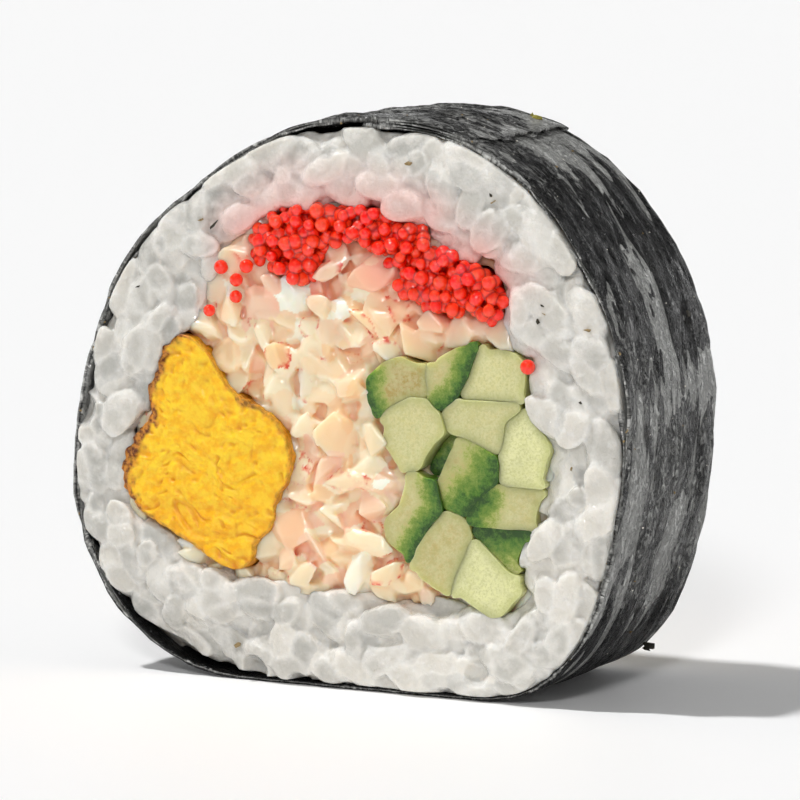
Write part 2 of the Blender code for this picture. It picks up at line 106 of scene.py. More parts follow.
def rounded(loop, width):
    """A closed loop with its corners eased: each point becomes the mean of those within this width."""
    step = around(loop) / len(loop)
    reach = max(1, round(width / step / 2))
    return sum(np.roll(loop, k, 0) for k in range(-reach, reach + 1)) / (2 * reach + 1)


def outward(loop):
    """Unit vectors square to an anticlockwise loop, pointing out of it."""
    run = np.roll(loop, -1, 0) - np.roll(loop, 1, 0)
    return np.column_stack([run[:, 1], -run[:, 0]]) / np.hypot(*run.T)[:, None]


def clearance(points, loop):
    """How deep each point lies inside a loop, in millimetres, and minus the distance outside it.
    Distance is to the nearest point of each side. A point is inside if a ray from it crosses an odd
    number of sides."""
    a, b = loop, np.roll(loop, -1, 0)
    run = b - a
    found = np.empty(len(points))
    for start in range(0, len(points), 20000):
        p = points[start:start + 20000, None, :]
        share = np.clip(((p - a) * run).sum(2) / (run**2).sum(1), 0.0, 1.0)
        away = np.sqrt((((a + share[..., None] * run) - p) ** 2).sum(2).min(1))
        crosses = (a[:, 1] > p[..., 1]) != (b[:, 1] > p[..., 1])
        rise = np.where(run[:, 1] == 0.0, 1.0, run[:, 1])
        at = a[:, 0] + (p[..., 1] - a[:, 1]) / rise * run[:, 0]
        odd = (crosses & (at > p[..., 0])).sum(1) % 2 == 1
        found[start:start + 20000] = np.where(odd, away, -away)
    return found


def pressed(loop, others, most=0.75):
    """The outline grown until it meets its neighbours: each point moves out by half of what separates its
    way out from the nearest other piece, six times over, and by 0.2 mm at most where nothing is near."""
    way, moved = outward(loop), np.zeros(len(loop))
    for _ in range(6):
        at = loop + way * moved[:, None]
        gap = np.min([-clearance(at, outline[n]) for n in others], 0)
        moved = np.clip(moved + (gap - moved + 0.03) / 2.0, 0.0, np.where(gap < 1.3, most, 0.2))
    moved = (np.roll(moved, 1) + moved + np.roll(moved, -1)) / 3.0
    return evenly(loop + way * moved[:, None], len(loop))


batons = sorted((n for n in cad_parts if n.startswith("cucumber")), key=lambda n: int(n.split("_")[1]))
outline = {n: anticlockwise(section(n)[0]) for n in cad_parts}
rice_inner = anticlockwise(section("rice")[1])
HALF = 11.0
lengths = [round(around(loop)) for loop in (outline["rice"], rice_inner)]
print("the rice ring is %d mm round outside and %d mm round inside" % tuple(lengths))

# %% [markdown]
# ## Noise without loops
# Food is uneven at every scale. The noise here is a lattice of random numbers, blended smoothly between its
# points. It takes whole arrays of points, so a surface of many thousand points is bent in one step.

# %% Lattice noise
def noise(points, length, seed=0):
    """Smooth noise from -1 to 1. Each lattice corner gets a random number by mixing the bits of its three
    whole coordinates, and the eight corners round a point are blended by 3t^2 - 2t^3 along each axis."""
    table = np.random.default_rng(seed).uniform(-1.0, 1.0, 8192)
    scaled = np.asarray(points, float) / length
    cell = np.floor(scaled).astype(np.int64)
    part = scaled - cell
    part = part * part * (3.0 - 2.0 * part)
    total = np.zeros(scaled.shape[:-1])
    for corner in np.ndindex(2, 2, 2):
        c = cell + corner
        mixed = (c[..., 0] * 73856093) ^ (c[..., 1] * 19349663) ^ (c[..., 2] * 83492791)
        total += table[mixed & 8191] * np.where(corner, part, 1.0 - part).prod(-1)
    return total


def rough(points, length, layers=3, seed=0):
    """Noise in layers, each half as long and half as high as the one before."""
    total = sum(noise(points, length / 2**k, seed + k) / 2**k for k in range(layers))
    return total / (2 - 0.5 ** (layers - 1))


def ridges(points, length, seed=0):
    """From 0 to 1, and 1 along wandering lines: one minus the size of the noise."""
    return 1.0 - np.abs(rough(points, length, 2, seed)) * 2.0


# %% [markdown]
# ## Meshes from grids
# A surface is an array of points with rows and columns. These helpers join the rows with four-sided faces,
# close the ends with a fan at a pole, and hand the arrays to Blender at once.

# %% Grids to meshes
def grid_faces(rows, columns, wrap=True, start=0):
    """Faces between neighbouring rows. Point (r, c) has the number start + r * columns + c."""
    r, c = np.meshgrid(np.arange(rows - 1), np.arange(columns if wrap else columns - 1), indexing="ij")
    after = (c + 1) % columns
    corners = ((r, c), (r, after), (r + 1, after), (r + 1, c))
    return np.stack([row * columns + column for row, column in corners], -1).reshape(-1, 4) + start


def put(name, data):
    """A new object in the scene, at the origin."""
    made = bpy.data.objects.new(name, data)
    bpy.context.scene.collection.objects.link(made)
    return made


def build(name, points, quads, triangles, values=None, material=None):
    """A smooth mesh object at the origin from points in millimetres, with numbers kept for each point."""
    faces = quads.tolist() + triangles.tolist()
    mesh = bpy.data.meshes.new(name)
    mesh.from_pydata(np.asarray(points) * MM, [], faces)
    mesh.shade_smooth()
    if material:
        mesh.materials.append(material)
    made = put(name, mesh)
    keep_numbers(made, **(values or {}))
    return made


def keep_numbers(made, **values):
    """Keeps numbers with the points of a mesh, where its finish reads them by name."""
    for key, numbers in values.items():
        layer = made.data.attributes.new(key, "FLOAT", "POINT")
        layer.data.foreach_set("value", np.asarray(numbers, np.float32).ravel())


def points_of(made):
    """The points of a mesh in millimetres."""
    points = np.empty(len(made.data.vertices) * 3)
    made.data.vertices.foreach_get("co", points)
    return points.reshape(-1, 3) / MM


def closed_rows(rows, low, high):
    """Points, quads and triangles of a tube of closed rows, with a pole point at each end."""
    count, columns = rows.shape[:2]
    points = np.vstack([low[None], rows.reshape(-1, 3), high[None]])
    c = np.arange(columns)
    after = (c + 1) % columns
    last = len(points) - 1
    fans = np.vstack([
        np.column_stack([np.zeros(columns, int), 1 + after, 1 + c]),
        np.column_stack([np.full(columns, last), last - columns + c, last - columns + after]),
    ])
    return points, grid_faces(count, columns, start=1), fans


def many(count, rows, columns):
    """The faces of many closed pieces that share one grid."""
    one, quads, fans = closed_rows(np.zeros((rows, columns, 3)), np.zeros(3), np.zeros(3))
    shift = np.arange(count)[:, None, None] * len(one)
    return (quads + shift).reshape(-1, 4), (fans + shift).reshape(-1, 3)


def outward_faces(made):
    """Turns all of a closed mesh's faces outwards."""
    shell = bmesh.new()
    shell.from_mesh(made.data)
    bmesh.ops.recalc_face_normals(shell, faces=shell.faces)
    shell.to_mesh(made.data)
    shell.free()


def place(made, slot, *nodes):
    """Settles a finished piece: it moves with the roll and stands for these nodes, which are hidden. The slot
    is not used.
    """
    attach(made, "root")
    if nodes:
        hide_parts(*nodes)
    made.data.calc_loop_triangles()
    print(made.name, "has", len(made.data.loop_triangles), "triangles")
    return made


# %% [markdown]
# ## Materials
# Each finish is a tree of nodes round one Principled shader. Colours are written as hex values as a screen
# shows them and turned to linear light once. One helper adds any node with its settings and its links.

# %% Material helpers
def colour(code):
    """A hex screen colour as linear red, green, blue and alpha: c / 12.92 up to 0.04045, and
    ((c + 0.055) / 1.055) ** 2.4 above it."""
    parts = [int(code[k:k + 2], 16) / 255 for k in (1, 3, 5)]
    return (*[c / 12.92 if c <= 0.04045 else ((c + 0.055) / 1.055) ** 2.4 for c in parts], 1.0)


# Of a node's outputs, the one that is used: the first, or for these kinds another.
RESULT = {"Mix": 2, "Attribute": "Fac", "TexCoord": "Object"}


def add(tree, kind, settings=None, inputs=None, result=None):
    """Adds a node and returns its output. An input is a value, or another node's output, which is linked."""
    made = tree.nodes.new("ShaderNode" + kind)
    for key, value in (settings or {}).items():
        setattr(made, key, value)
    for key, value in (inputs or {}).items():
        if isinstance(value, bpy.types.NodeSocket):
            tree.links.new(value, made.inputs[key])
        else:
            made.inputs[key].default_value = value
    return made.outputs[result or RESULT.get(kind, 0)]


def new_finish(name, **inputs):
    """A material whose Principled shader's own sockets are set here. Returns the material and its tree."""
    material = bpy.data.materials.new(name)
    material.use_nodes = True
    for key, value in inputs.items():
        material.node_tree.nodes["Principled BSDF"].inputs[key.replace("_", " ")].default_value = value
    return material, material.node_tree


def wired(material, **outputs):
    """Links these outputs to the sockets of the material's Principled shader and returns the material."""
    shader = material.node_tree.nodes["Principled BSDF"]
    for key, value in outputs.items():
        material.node_tree.links.new(value, shader.inputs[key.replace("_", " ")])
    return material


MIX = {"data_type": "RGBA"}
FACTOR, A, B = 0, 6, 7

# %% [markdown]
# ### Cooked rice
# Cooked rice is a swollen, moist starch gel. Light goes a millimetre or more into it and comes out again, so
# edges glow and nothing looks hard. Grains differ a little: some are cool and clear, others warm and chalky.
# Roe stains the rice next to it pink. A thin wet film gives small bright glints. A glow is painted on the
# grains' borders and shade in the hollows.

# %% Rice finish
def make_rice_finish():
    made, tree = new_finish(
        "cooked_rice", Roughness=0.28, IOR=1.4, Subsurface_Weight=1.0, Subsurface_Scale=0.75 * MM,
        Subsurface_Radius=(1.0, 0.92, 0.82), Coat_Weight=1.0, Coat_Roughness=0.1)
    at = add(tree, "TexCoord")
    tone, stain, dim, rim = (
        add(tree, "Attribute", {"attribute_name": n}) for n in ("tone", "stain", "dim", "rim"))
    # Starch gathers in clouds about 1.5 mm across.
    clouds = add(tree, "TexNoise", None, {"Vector": at, "Scale": 1 / (1.5 * MM), "Detail": 4.0})
    cloudy = add(tree, "MapRange", None, {"Value": clouds, "From Min": 0.48, "From Max": 0.72, "To Max": 0.7})
    grain = add(tree, "Mix", MIX, {FACTOR: tone, A: colour("#b3b2ac"), B: colour("#e0dcd3")})
    # Of these mixes, the fourth is a painted shade in the hollows and the second a painted glow on the
    # grains' borders.
    for amount, code in ((cloudy, "#efece6"), (rim, "#f6f4ef"), (stain, "#f6aca2"), (dim, "#8d857c")):
        grain = add(tree, "Mix", MIX, {FACTOR: amount, A: grain, B: colour(code)})
    skin = add(tree, "TexNoise", None, {
        "Vector": at, "Scale": 1 / (0.55 * MM), "Detail": 5.0, "Roughness": 0.7})
    sticky = add(tree, "MapRange", None, {"Value": clouds, "From Min": 0.4, "From Max": 0.7, "To Min": 0.3})
    lumps = add(tree, "Math", {"operation": "MULTIPLY"}, {0: skin, 1: sticky})
    bump = add(tree, "Bump", None, {"Height": lumps, "Strength": 0.8, "Distance": 0.3 * MM})
    # The wet film breaks into points of light about half a millimetre apart.
    grit = add(tree, "TexNoise", None, {
        "Vector": at, "Scale": 1 / (0.45 * MM), "Detail": 2.0, "Roughness": 0.6})
    film = add(tree, "Bump", None, {"Height": grit, "Strength": 1.0, "Distance": 0.5 * MM, "Normal": bump})
    wet = add(tree, "MapRange", None, {
        "Value": clouds, "From Min": 0.35, "From Max": 0.65, "To Min": 0.2, "To Max": 0.45})
    return wired(made, Base_Color=grain, Normal=bump, Coat_Normal=film, Roughness=wet)


rice_finish = make_rice_finish()

# %% [markdown]
# ## Rice
# A few hundred grains lie over each cut, along the ring but never in line, some proud of the cut and some
# below. Each grain is a rounded spindle. Loose grains would look like beans, and cooked rice sticks, so the
# grains of a cut are melted into one skin with a fine voxel remesh and smoothed a little: neighbours then
# meet in soft creases. The middle of the roll stays a plain ring that nobody sees.

# %% Grain shapes
def spindles(centres, axes, half_sizes, rows=11, columns=14):
    """Grains as closed grids. Along the grain t goes from -1 to 1 and the section's radius is
    (1 - |t|^2.3)^0.55, so the ends are blunt; the middle bows sideways by 0.12 of the length times t^2."""
    t = -np.cos(np.linspace(0.0, math.pi, rows + 2)[1:-1])
    turn = np.linspace(0.0, 2 * math.pi, columns, endpoint=False)
    radius = (1 - np.abs(t) ** 2.3) ** 0.55
    shape = np.stack([
        np.repeat(t[:, None], columns, 1),
        radius[:, None] * np.cos(turn) + 0.12 * t[:, None] ** 2,
        radius[:, None] * np.sin(turn),
    ], -1).reshape(-1, 3)
    shape = np.vstack([[-1.0, 0.12, 0.0], shape, [1.0, 0.12, 0.0]])
    local = shape[None] * half_sizes[:, None, :]
    points = centres[:, None, :] + np.einsum("gpk,gkj->gpj", local, axes)
    return points.reshape(-1, 3), *many(len(centres), rows, columns)


def scatter(region_low, region_high, spacing, rng, jitter=0.32):
    """A grid of staggered rows with each point moved at random by a share of the spacing."""
    x = np.arange(region_low[0], region_high[0], spacing)
    z = np.arange(region_low[1], region_high[1], spacing * 0.87)
    gx, gz = np.meshgrid(x, z)
    gx = gx + (np.arange(len(z)) % 2)[:, None] * spacing / 2
    points = np.column_stack([gx.ravel(), gz.ravel()])
    return points + rng.uniform(-jitter, jitter, points.shape) * spacing


def turned(angle, tilt, roll):
    """For each grain, three unit rows: along it, across it in the cut, and out of the cut. The grain points
    at angle in the cut, tilts out of it and rolls about itself."""
    zero = np.zeros_like(angle)
    along = np.column_stack([np.cos(angle) * np.cos(tilt), np.sin(tilt), np.sin(angle) * np.cos(tilt)])
    side = np.column_stack([-np.sin(angle), zero, np.cos(angle)])
    out = np.cross(along, side)
    across = side * np.cos(roll)[:, None] + out * np.sin(roll)[:, None]
    return np.stack([along, across, np.cross(along, across)], 1)


RING_MIDDLE = np.array([0.0, 24.0])


def reach_of(loop, angles):
    """How far a star-shaped loop lies from the middle of the roll in each direction."""
    away = loop - RING_MIDDLE
    turn = np.arctan2(away[:, 1], away[:, 0])
    order = np.argsort(turn)
    return np.interp(angles, turn[order], np.hypot(*away.T)[order], period=2 * math.pi)


def kept_between(points, inner, outer):
    """Points moved along the spokes of the roll so that they lie between two loops."""
    away = points[..., [0, 2]] - RING_MIDDLE
    turn, far = np.arctan2(away[..., 1], away[..., 0]), np.hypot(away[..., 0], away[..., 1])
    held = far if outer is None else np.minimum(far, reach_of(outer, turn))
    held = held if inner is None else np.maximum(held, reach_of(inner, turn))
    away = away * (held / far)[..., None]
    return np.stack([away[..., 0] + RING_MIDDLE[0], points[..., 1], away[..., 1] + RING_MIDDLE[1]], -1)


def knife(points, planes, side, crown=0.2):
    """The knife's cut: what stands out past a piece's own plane is pressed down to a share of its height."""
    past = np.maximum(side * points[..., 1] - planes[:, None], 0.0)
    return points - np.stack([0 * past, side * past * (1.0 - crown), 0 * past], -1)


# Where single grains are missing from the front cut: x, z, how wide and how deep the hole is, in mm.
HOLES = ((-24.2, 21.8, 1.5, 1.3), (-7.8, 0.9, 1.4, 1.6), (-3.6, 0.3, 0.9, 1.2), (12.6, 2.4, 1.2, 0.9))


def drawn_back(points):
    """The front rice falls back from the cut and from the seaweed along the lower left of the roll. The share
    is 1 at 236 degrees round the roll and eases out 22 degrees to each side, less deep further inside."""
    flat = points[:, [0, 2]]
    front = np.clip((-points[:, 1] - HALF + 2.6) / 2.0, 0.0, 1.0)
    away = flat - RING_MIDDLE
    turn = np.degrees(np.arctan2(away[:, 1], away[:, 0])) % 360.0
    share = np.clip(1.0 - np.abs(turn - 236.0) / 22.0, 0.0, 1.0)
    share = share * share * (3.0 - 2.0 * share) * (1.0 + 0.35 * noise(points * [1, 0, 1], 4.0, 191))
    near_wall = np.clip(1.0 - clearance(flat, evenly(outline["rice"], 120)) / 3.6, 0.0, 1.0)
    back = 1.2 * share * near_wall
    for x, z, width, deep in HOLES:
        bowl = 1.0 - (np.hypot(flat[:, 0] - x, flat[:, 1] - z) / width) ** 2
        back = np.maximum(back, deep * np.clip(bowl, 0.0, 1.0))
    inward = -away / np.hypot(*away.T)[:, None] * (share * near_wall * front)[:, None]
    return points + np.stack([inward[:, 0], back * front, inward[:, 1]], -1)


def in_ring(spots):
    """How deep spots lie in the ring of rice, and minus how far they are outside it."""
    return np.minimum(clearance(spots, outline["rice"]), -clearance(spots, rice_inner))


def lay_grains(side, rng):
    """Centres, axes, half sizes and cut planes of the grains at one cut, in three layers."""
    sets = []
    for spacing, low, high in ((2.2, -1.1, -0.6), (2.2, -0.55, 0.0), (2.9, 0.0, 0.5)):
        spots = scatter(outline["rice"].min(0), outline["rice"].max(0), spacing, rng, 0.4)
        spots = spots[in_ring(spots) > (0.0 if high < 0.5 else 0.6)]
        count = len(spots)
        size = rng.uniform(0.72, 1.2, (count, 1)) * np.array([2.6, 1.4, 1.25])
        size = size * rng.uniform(0.9, 1.1, (count, 3))
        away = spots - RING_MIDDLE
        ring = np.arctan2(away[:, 1], away[:, 0]) + math.pi / 2
        best, best_room = ring, np.full(count, -9.0)
        # Of eight slants tried, a grain takes the roomiest, with some luck mixed in.
        for slant in (0.0, 0.4, -0.4, 0.8, -0.8, 1.2, -1.2, 1.57):
            angle = ring + slant + rng.normal(0.0, 0.15, count)
            step = np.column_stack([np.cos(angle), np.sin(angle)]) * (size[:, :1] - size[:, 1:2])
            here = np.minimum(in_ring(spots + step), in_ring(spots - step))
            here = np.minimum(here - size[:, 1], 0.0) + rng.uniform(0.0, 1.1, count)
            best, best_room = np.where(here > best_room, angle, best), np.maximum(here, best_room)
        plane = HALF + rng.uniform(low, high, count)
        # Grains against the seaweed reach nearly as far out as its edge.
        rim = (clearance(spots, outline["rice"]) < 1.6) & (high > -0.5)
        plane = np.where(rim, np.maximum(plane, HALF + rng.uniform(-0.25, 0.25, count)), plane)
        middle = np.column_stack([spots[:, 0], side * (plane - 0.55 * size[:, 2]), spots[:, 1]])
        axes = turned(best, rng.normal(0.0, 0.4, count), rng.uniform(-0.6, 0.6, count))
        sets.append((middle, axes, size, plane))
    return [np.concatenate(parts) for parts in zip(*sets)]


# %% Melt grains together
def as_mesh(shell, name):
    """Hands a finished bmesh over as a new mesh."""
    mesh = bpy.data.meshes.new(name)
    shell.to_mesh(mesh)
    shell.free()
    return mesh


def cut_back(node, low, high):
    """A copy of a node's mesh, merged, with only what lies between two planes square to Y, closed again."""
    shell = bmesh.new()
    shell.from_mesh(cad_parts[node].data)
    bmesh.ops.remove_doubles(shell, verts=shell.verts, dist=0.002 * MM)
    trimmed(shell, low, -1)
    trimmed(shell, high, 1)
    return as_mesh(shell, node + "_core")


def trimmed(shell, y, way):
    """Cuts off what lies past a plane square to Y and closes the cut with flat faces."""
    everything = shell.verts[:] + shell.edges[:] + shell.faces[:]
    cut = bmesh.ops.bisect_plane(
        shell, geom=everything, plane_co=(0, y * MM, 0), plane_no=(0, way, 0), clear_outer=True)
    rim = [e for e in cut["geom_cut"] if isinstance(e, bmesh.types.BMEdge)]
    bmesh.ops.triangle_fill(shell, edges=rim, use_beauty=True, use_dissolve=False)
    bmesh.ops.recalc_face_normals(shell, faces=shell.faces)


def melted(name, meshes, voxel, smoothing, back, way):
    """One closed skin round all of these meshes, made by a voxel remesh and smoothed. Its hidden back is cut
    off flat at y = back."""
    shell = bmesh.new()
    for mesh in meshes:
        shell.from_mesh(mesh)
    made = put(name, as_mesh(shell, name))
    remesh = made.modifiers.new("melt", "REMESH")
    remesh.mode = "VOXEL"
    remesh.voxel_size = voxel * MM
    ease = made.modifiers.new("ease", "SMOOTH")
    ease.factor = 0.5
    ease.iterations = smoothing
    graph = bpy.context.evaluated_depsgraph_get()
    made.data = bpy.data.meshes.new_from_object(made.evaluated_get(graph))
    made.modifiers.clear()
    shell = bmesh.new()
    shell.from_mesh(made.data)
    trimmed(shell, back, way)
    shell.to_mesh(made.data)
    shell.free()
    made.data.shade_smooth()
    return made


def nearest_piece(points, centres, axes, half_sizes):
    """For each point, the number of the piece that it lies deepest in, and how near it is to the border with
    the next piece, from 0 to 1. Depth goes by the distance from a piece's middle over its half sizes."""
    best, second, found = np.full(len(points), 3.0), np.full(len(points), 3.0), np.zeros(len(points), int)
    for k in range(len(centres)):
        close = np.flatnonzero(np.abs(points - centres[k]).max(1) < half_sizes[k].max() * 1.4)
        size = np.sqrt((((points[close] - centres[k]) @ axes[k].T / half_sizes[k]) ** 2).sum(1))
        better = size < best[close]
        second[close] = np.where(better, best[close], np.minimum(second[close], size))
        best[close[better]], found[close[better]] = size[better], k
    return found, np.clip(1.0 - (second - best) / 0.3, 0.0, 1.0)


def make_rice(name, side, seed):
    """One cut's rice: grains melted to the front of the ring, with a tone for each grain that grows whiter
    towards the right, a pink stain by the roe, painted shade in the hollows and a painted glow on the grains'
    borders."""
    rng = np.random.default_rng(seed)
    *grains, planes = lay_grains(side, rng)
    points, quads, fans = spindles(*grains)
    points = knife(points.reshape(len(planes), -1, 3), planes, side)
    wall = evenly(outline["rice"], 200)
    wall = wall + outward(wall) * 0.36
    inner = rounded(evenly(rice_inner, 200), 3.0)
    points = points + 0.24 * np.stack([noise(points, 1.5, 161 + k) for k in range(3)], -1)
    points = kept_between(points, inner - outward(inner) * 0.9, wall)
    loose = build("loose", points.reshape(-1, 3), quads, fans)
    depth = sorted((side * (HALF - 0.95), side * (HALF - 3.2)))
    made = melted(name, [loose.data, cut_back("rice", *depth)], 0.165, 1, side * (HALF - 2.6), -side)
    bpy.data.objects.remove(loose)
    points = points_of(made)
    flat = points[:, [0, 2]]
    owner, border = nearest_piece(points, *grains)
    # Sticky starch leaves the grains lumpy in patches.
    lumpy = np.clip(0.5 + 1.5 * noise(points, 5.0, 171), 0.15, 1.0) * (side * points[:, 1] > HALF - 2.4)
    bent = points + [0, side * 0.09, 0] * (lumpy * rough(points, 0.65, 2, 181))[:, None]
    bent = drawn_back(bent) if side < 0 else bent
    made.data.vertices.foreach_set("co", (bent * MM).ravel())
    tone = (0.8 * rng.beta(1.0, 1.0, len(planes)))[owner] + 0.2 * np.clip((flat[:, 0] + 20) / 36, 0, 1)
    roe_near = np.clip(1.1 + clearance(flat, evenly(outline["roe"], 60)) / 5.0, 0.0, 1.0)
    stain = roe_near**1.4 * (0.6 + 0.7 * rough(points, 3.0, 2, 5))
    stain = stain * np.clip((flat[:, 1] - 31.0) / 4.0, 0.0, 1.0)
    low = np.clip((11.0 - flat[:, 1]) / 11.0, 0.0, 1.0) * np.clip((6.0 - flat[:, 0]) / 12.0, 0.0, 1.0)
    # Painted shade: what lies further back than the cut is darkened, and the cut is a little darker towards
    # its lower left.
    hollow = np.clip((HALF - 0.75 - side * points[:, 1]) / 1.1, 0.0, 1.0)
    # Painted glow: the grains' borders are made paler, except in the hollows.
    keep_numbers(
        made, tone=tone, stain=np.clip(1.1 * stain, 0, 1), dim=np.clip(0.75 * hollow + 0.06 * low, 0, 1),
        rim=0.42 * border * (1 - hollow))
    made.data.materials.append(rice_finish)
    return place(made, "rice", "rice")


rice_front = make_rice("rice_front", -1, 3)
rice_back = make_rice("rice_back", 1, 4)


# %% Plain cores
def make_core(name, node, deep, finish, **values):
    """What fills the roll between the two cuts' pieces: the solid of the frame, cut back at both ends."""
    made = put(name, cut_back(node, -HALF + deep, HALF - deep))
    made.data.materials.clear()
    made.data.materials.append(finish)
    keep_numbers(made, **{key: np.full(len(made.data.vertices), value) for key, value in values.items()})
    return place(made, node, node)


rice_middle = make_core("rice_middle", "rice", 2.7, rice_finish)

# %% [markdown]
# ### Toasted seaweed
# A sheet of pressed and toasted seaweed is thin, dry and almost black. Its fibres run one way, here round the
# roll, and the moist rice pulls it into long wrinkles. It has a dull satin sheen, fine cracks and a few
# glints. The pattern follows the sheet, so it is drawn on a map in millimetres: along it and across it.

# %% Seaweed finish
def make_seaweed_finish():
    made, tree = new_finish("toasted_seaweed", Roughness=0.3, IOR=1.42)
    sheet = add(tree, "UVMap", {"uv_map": "sheet"})
    # Painted shading, read from the mesh: above zero it paints shade on the sheet, below zero it paints
    # light.
    damp = add(tree, "Attribute", {"attribute_name": "damp"})
    # Length and width in mm of the bands, the fibres, the cracked cells and the creases between them.
    wide, fine, cell, small = (
        add(tree, "Mapping", None, {"Vector": sheet, "Scale": (1 / length, 1 / width, 1.0)})
        for length, width in ((7.0, 2.0), (1.1, 0.42), (2.1, 1.0), (0.95, 0.6)))
    bundles = add(tree, "TexNoise", None, {"Vector": wide, "Scale": 1.0, "Detail": 5.0, "Distortion": 0.9})
    fibres = add(tree, "TexNoise", None, {
        "Vector": fine, "Scale": 1.0, "Detail": 4.0, "Roughness": 0.62, "Distortion": 1.4})
    crinkle = add(tree, "TexNoise", None, {
        "Vector": small, "Scale": 1.0, "Detail": 4.0, "Roughness": 0.68, "Distortion": 1.2})
    patches = add(tree, "TexNoise", None, {"Vector": sheet, "Scale": 1 / 4.5, "Detail": 4.0})
    bent = add(tree, "VectorMath", {"operation": "ADD"}, {0: cell, 1: bundles.node.outputs["Color"]})
    cells = add(tree, "TexVoronoi", {"feature": "DISTANCE_TO_EDGE"}, {"Vector": bent, "Scale": 1.0})
    crack = add(tree, "MapRange", None, {"Value": cells, "From Max": 0.035, "To Min": 0.85, "To Max": 0.0})
    some = add(tree, "MapRange", None, {"Value": patches, "From Min": 0.52, "From Max": 0.66})
    cracked = add(tree, "Math", {"operation": "MULTIPLY"}, {0: crack, 1: some})
    creased = add(tree, "MapRange", None, {
        "Value": crinkle, "From Min": 0.42, "From Max": 0.55, "To Min": 0.08, "To Max": 1.0})
    band = add(tree, "MapRange", None, {"Value": bundles, "From Min": 0.34, "From Max": 0.7})
    strand = add(tree, "MapRange", None, {"Value": fibres, "From Min": 0.46, "From Max": 0.64})
    # Painted sheen: pale streaks are painted on the bands and fibres in place of sheen, kept out of the
    # creases and out of the painted shade.
    fine_part = add(tree, "Math", {"operation": "MULTIPLY"}, {0: strand, 1: 0.6})
    pale = add(tree, "Math", {"operation": "MULTIPLY_ADD"}, {0: band, 1: 0.6, 2: fine_part})
    lit = add(tree, "Math", {"operation": "MULTIPLY"}, {0: pale, 1: creased})
    painted_sheen = add(tree, "Math", {"operation": "SUBTRACT", "use_clamp": True}, {0: lit, 1: damp})
    brown = add(tree, "MapRange", None, {"Value": patches, "From Min": 0.6, "From Max": 0.75, "To Max": 0.6})
    # Over the near-black sheet, the light grey is a painted sheen.
    dark = colour("#080808")
    for amount, code in ((painted_sheen, "#c8c8c4"), (brown, "#26231b"), (cracked, "#030303")):
        dark = add(tree, "Mix", MIX, {FACTOR: amount, A: dark, B: colour(code)})
    dull = add(tree, "MapRange", None, {
        "Value": fibres, "From Min": 0.35, "From Max": 0.65, "To Min": 0.2, "To Max": 0.46})
    first = add(tree, "Bump", None, {"Height": bundles, "Strength": 1.0, "Distance": 2.0 * MM})
    second = add(tree, "Bump", None, {
        "Height": strand, "Strength": 0.9, "Distance": 0.18 * MM, "Normal": first})
    third = add(tree, "Bump", {"invert": True}, {
        "Height": cracked, "Strength": 1.0, "Distance": 0.12 * MM, "Normal": second})
    fourth = add(tree, "Bump", None, {
        "Height": creased, "Strength": 1.0, "Distance": 0.45 * MM, "Normal": third})
    return wired(made, Base_Color=dark, Roughness=dull, Normal=fourth)


seaweed_finish = make_seaweed_finish()

# %% [markdown]
# ## Seaweed sheet
# The frame's sheet, cut across, is a thin closed loop: out along its outer face and back along the inner one.
# The loop is opened at the end that shows, whose two short sides are its shortest, and the line is carried
# across the roll. So the sheet goes round as two leaves, one just under the other, and the first is the one
# in sight. It gets long wrinkles, dents over the grains and ragged edges, and an inner face one thickness
# below.

# %% Wind the sheet
SHEET_THICKNESS = 0.2
ROLL_RADIUS = 23.0


def sheet_line():
    """The sheet's loop as an open line: from the end that shows along the outer face, round the hidden end,
    and back along the inner face."""
    loop = section("seaweed")[0]
    sides = np.hypot(*(np.roll(loop, -1, 0) - loop).T)
    first, second = sorted(np.argsort(sides)[:2])
    line = np.vstack([loop[second + 1:], loop[:first + 1]])
    # The outer corner of the end that shows is further from the middle of the roll than the inner one.
    reach = np.hypot(*(line[[0, -1]] - RING_MIDDLE).T)
    return line if reach[0] > reach[1] else line[::-1]


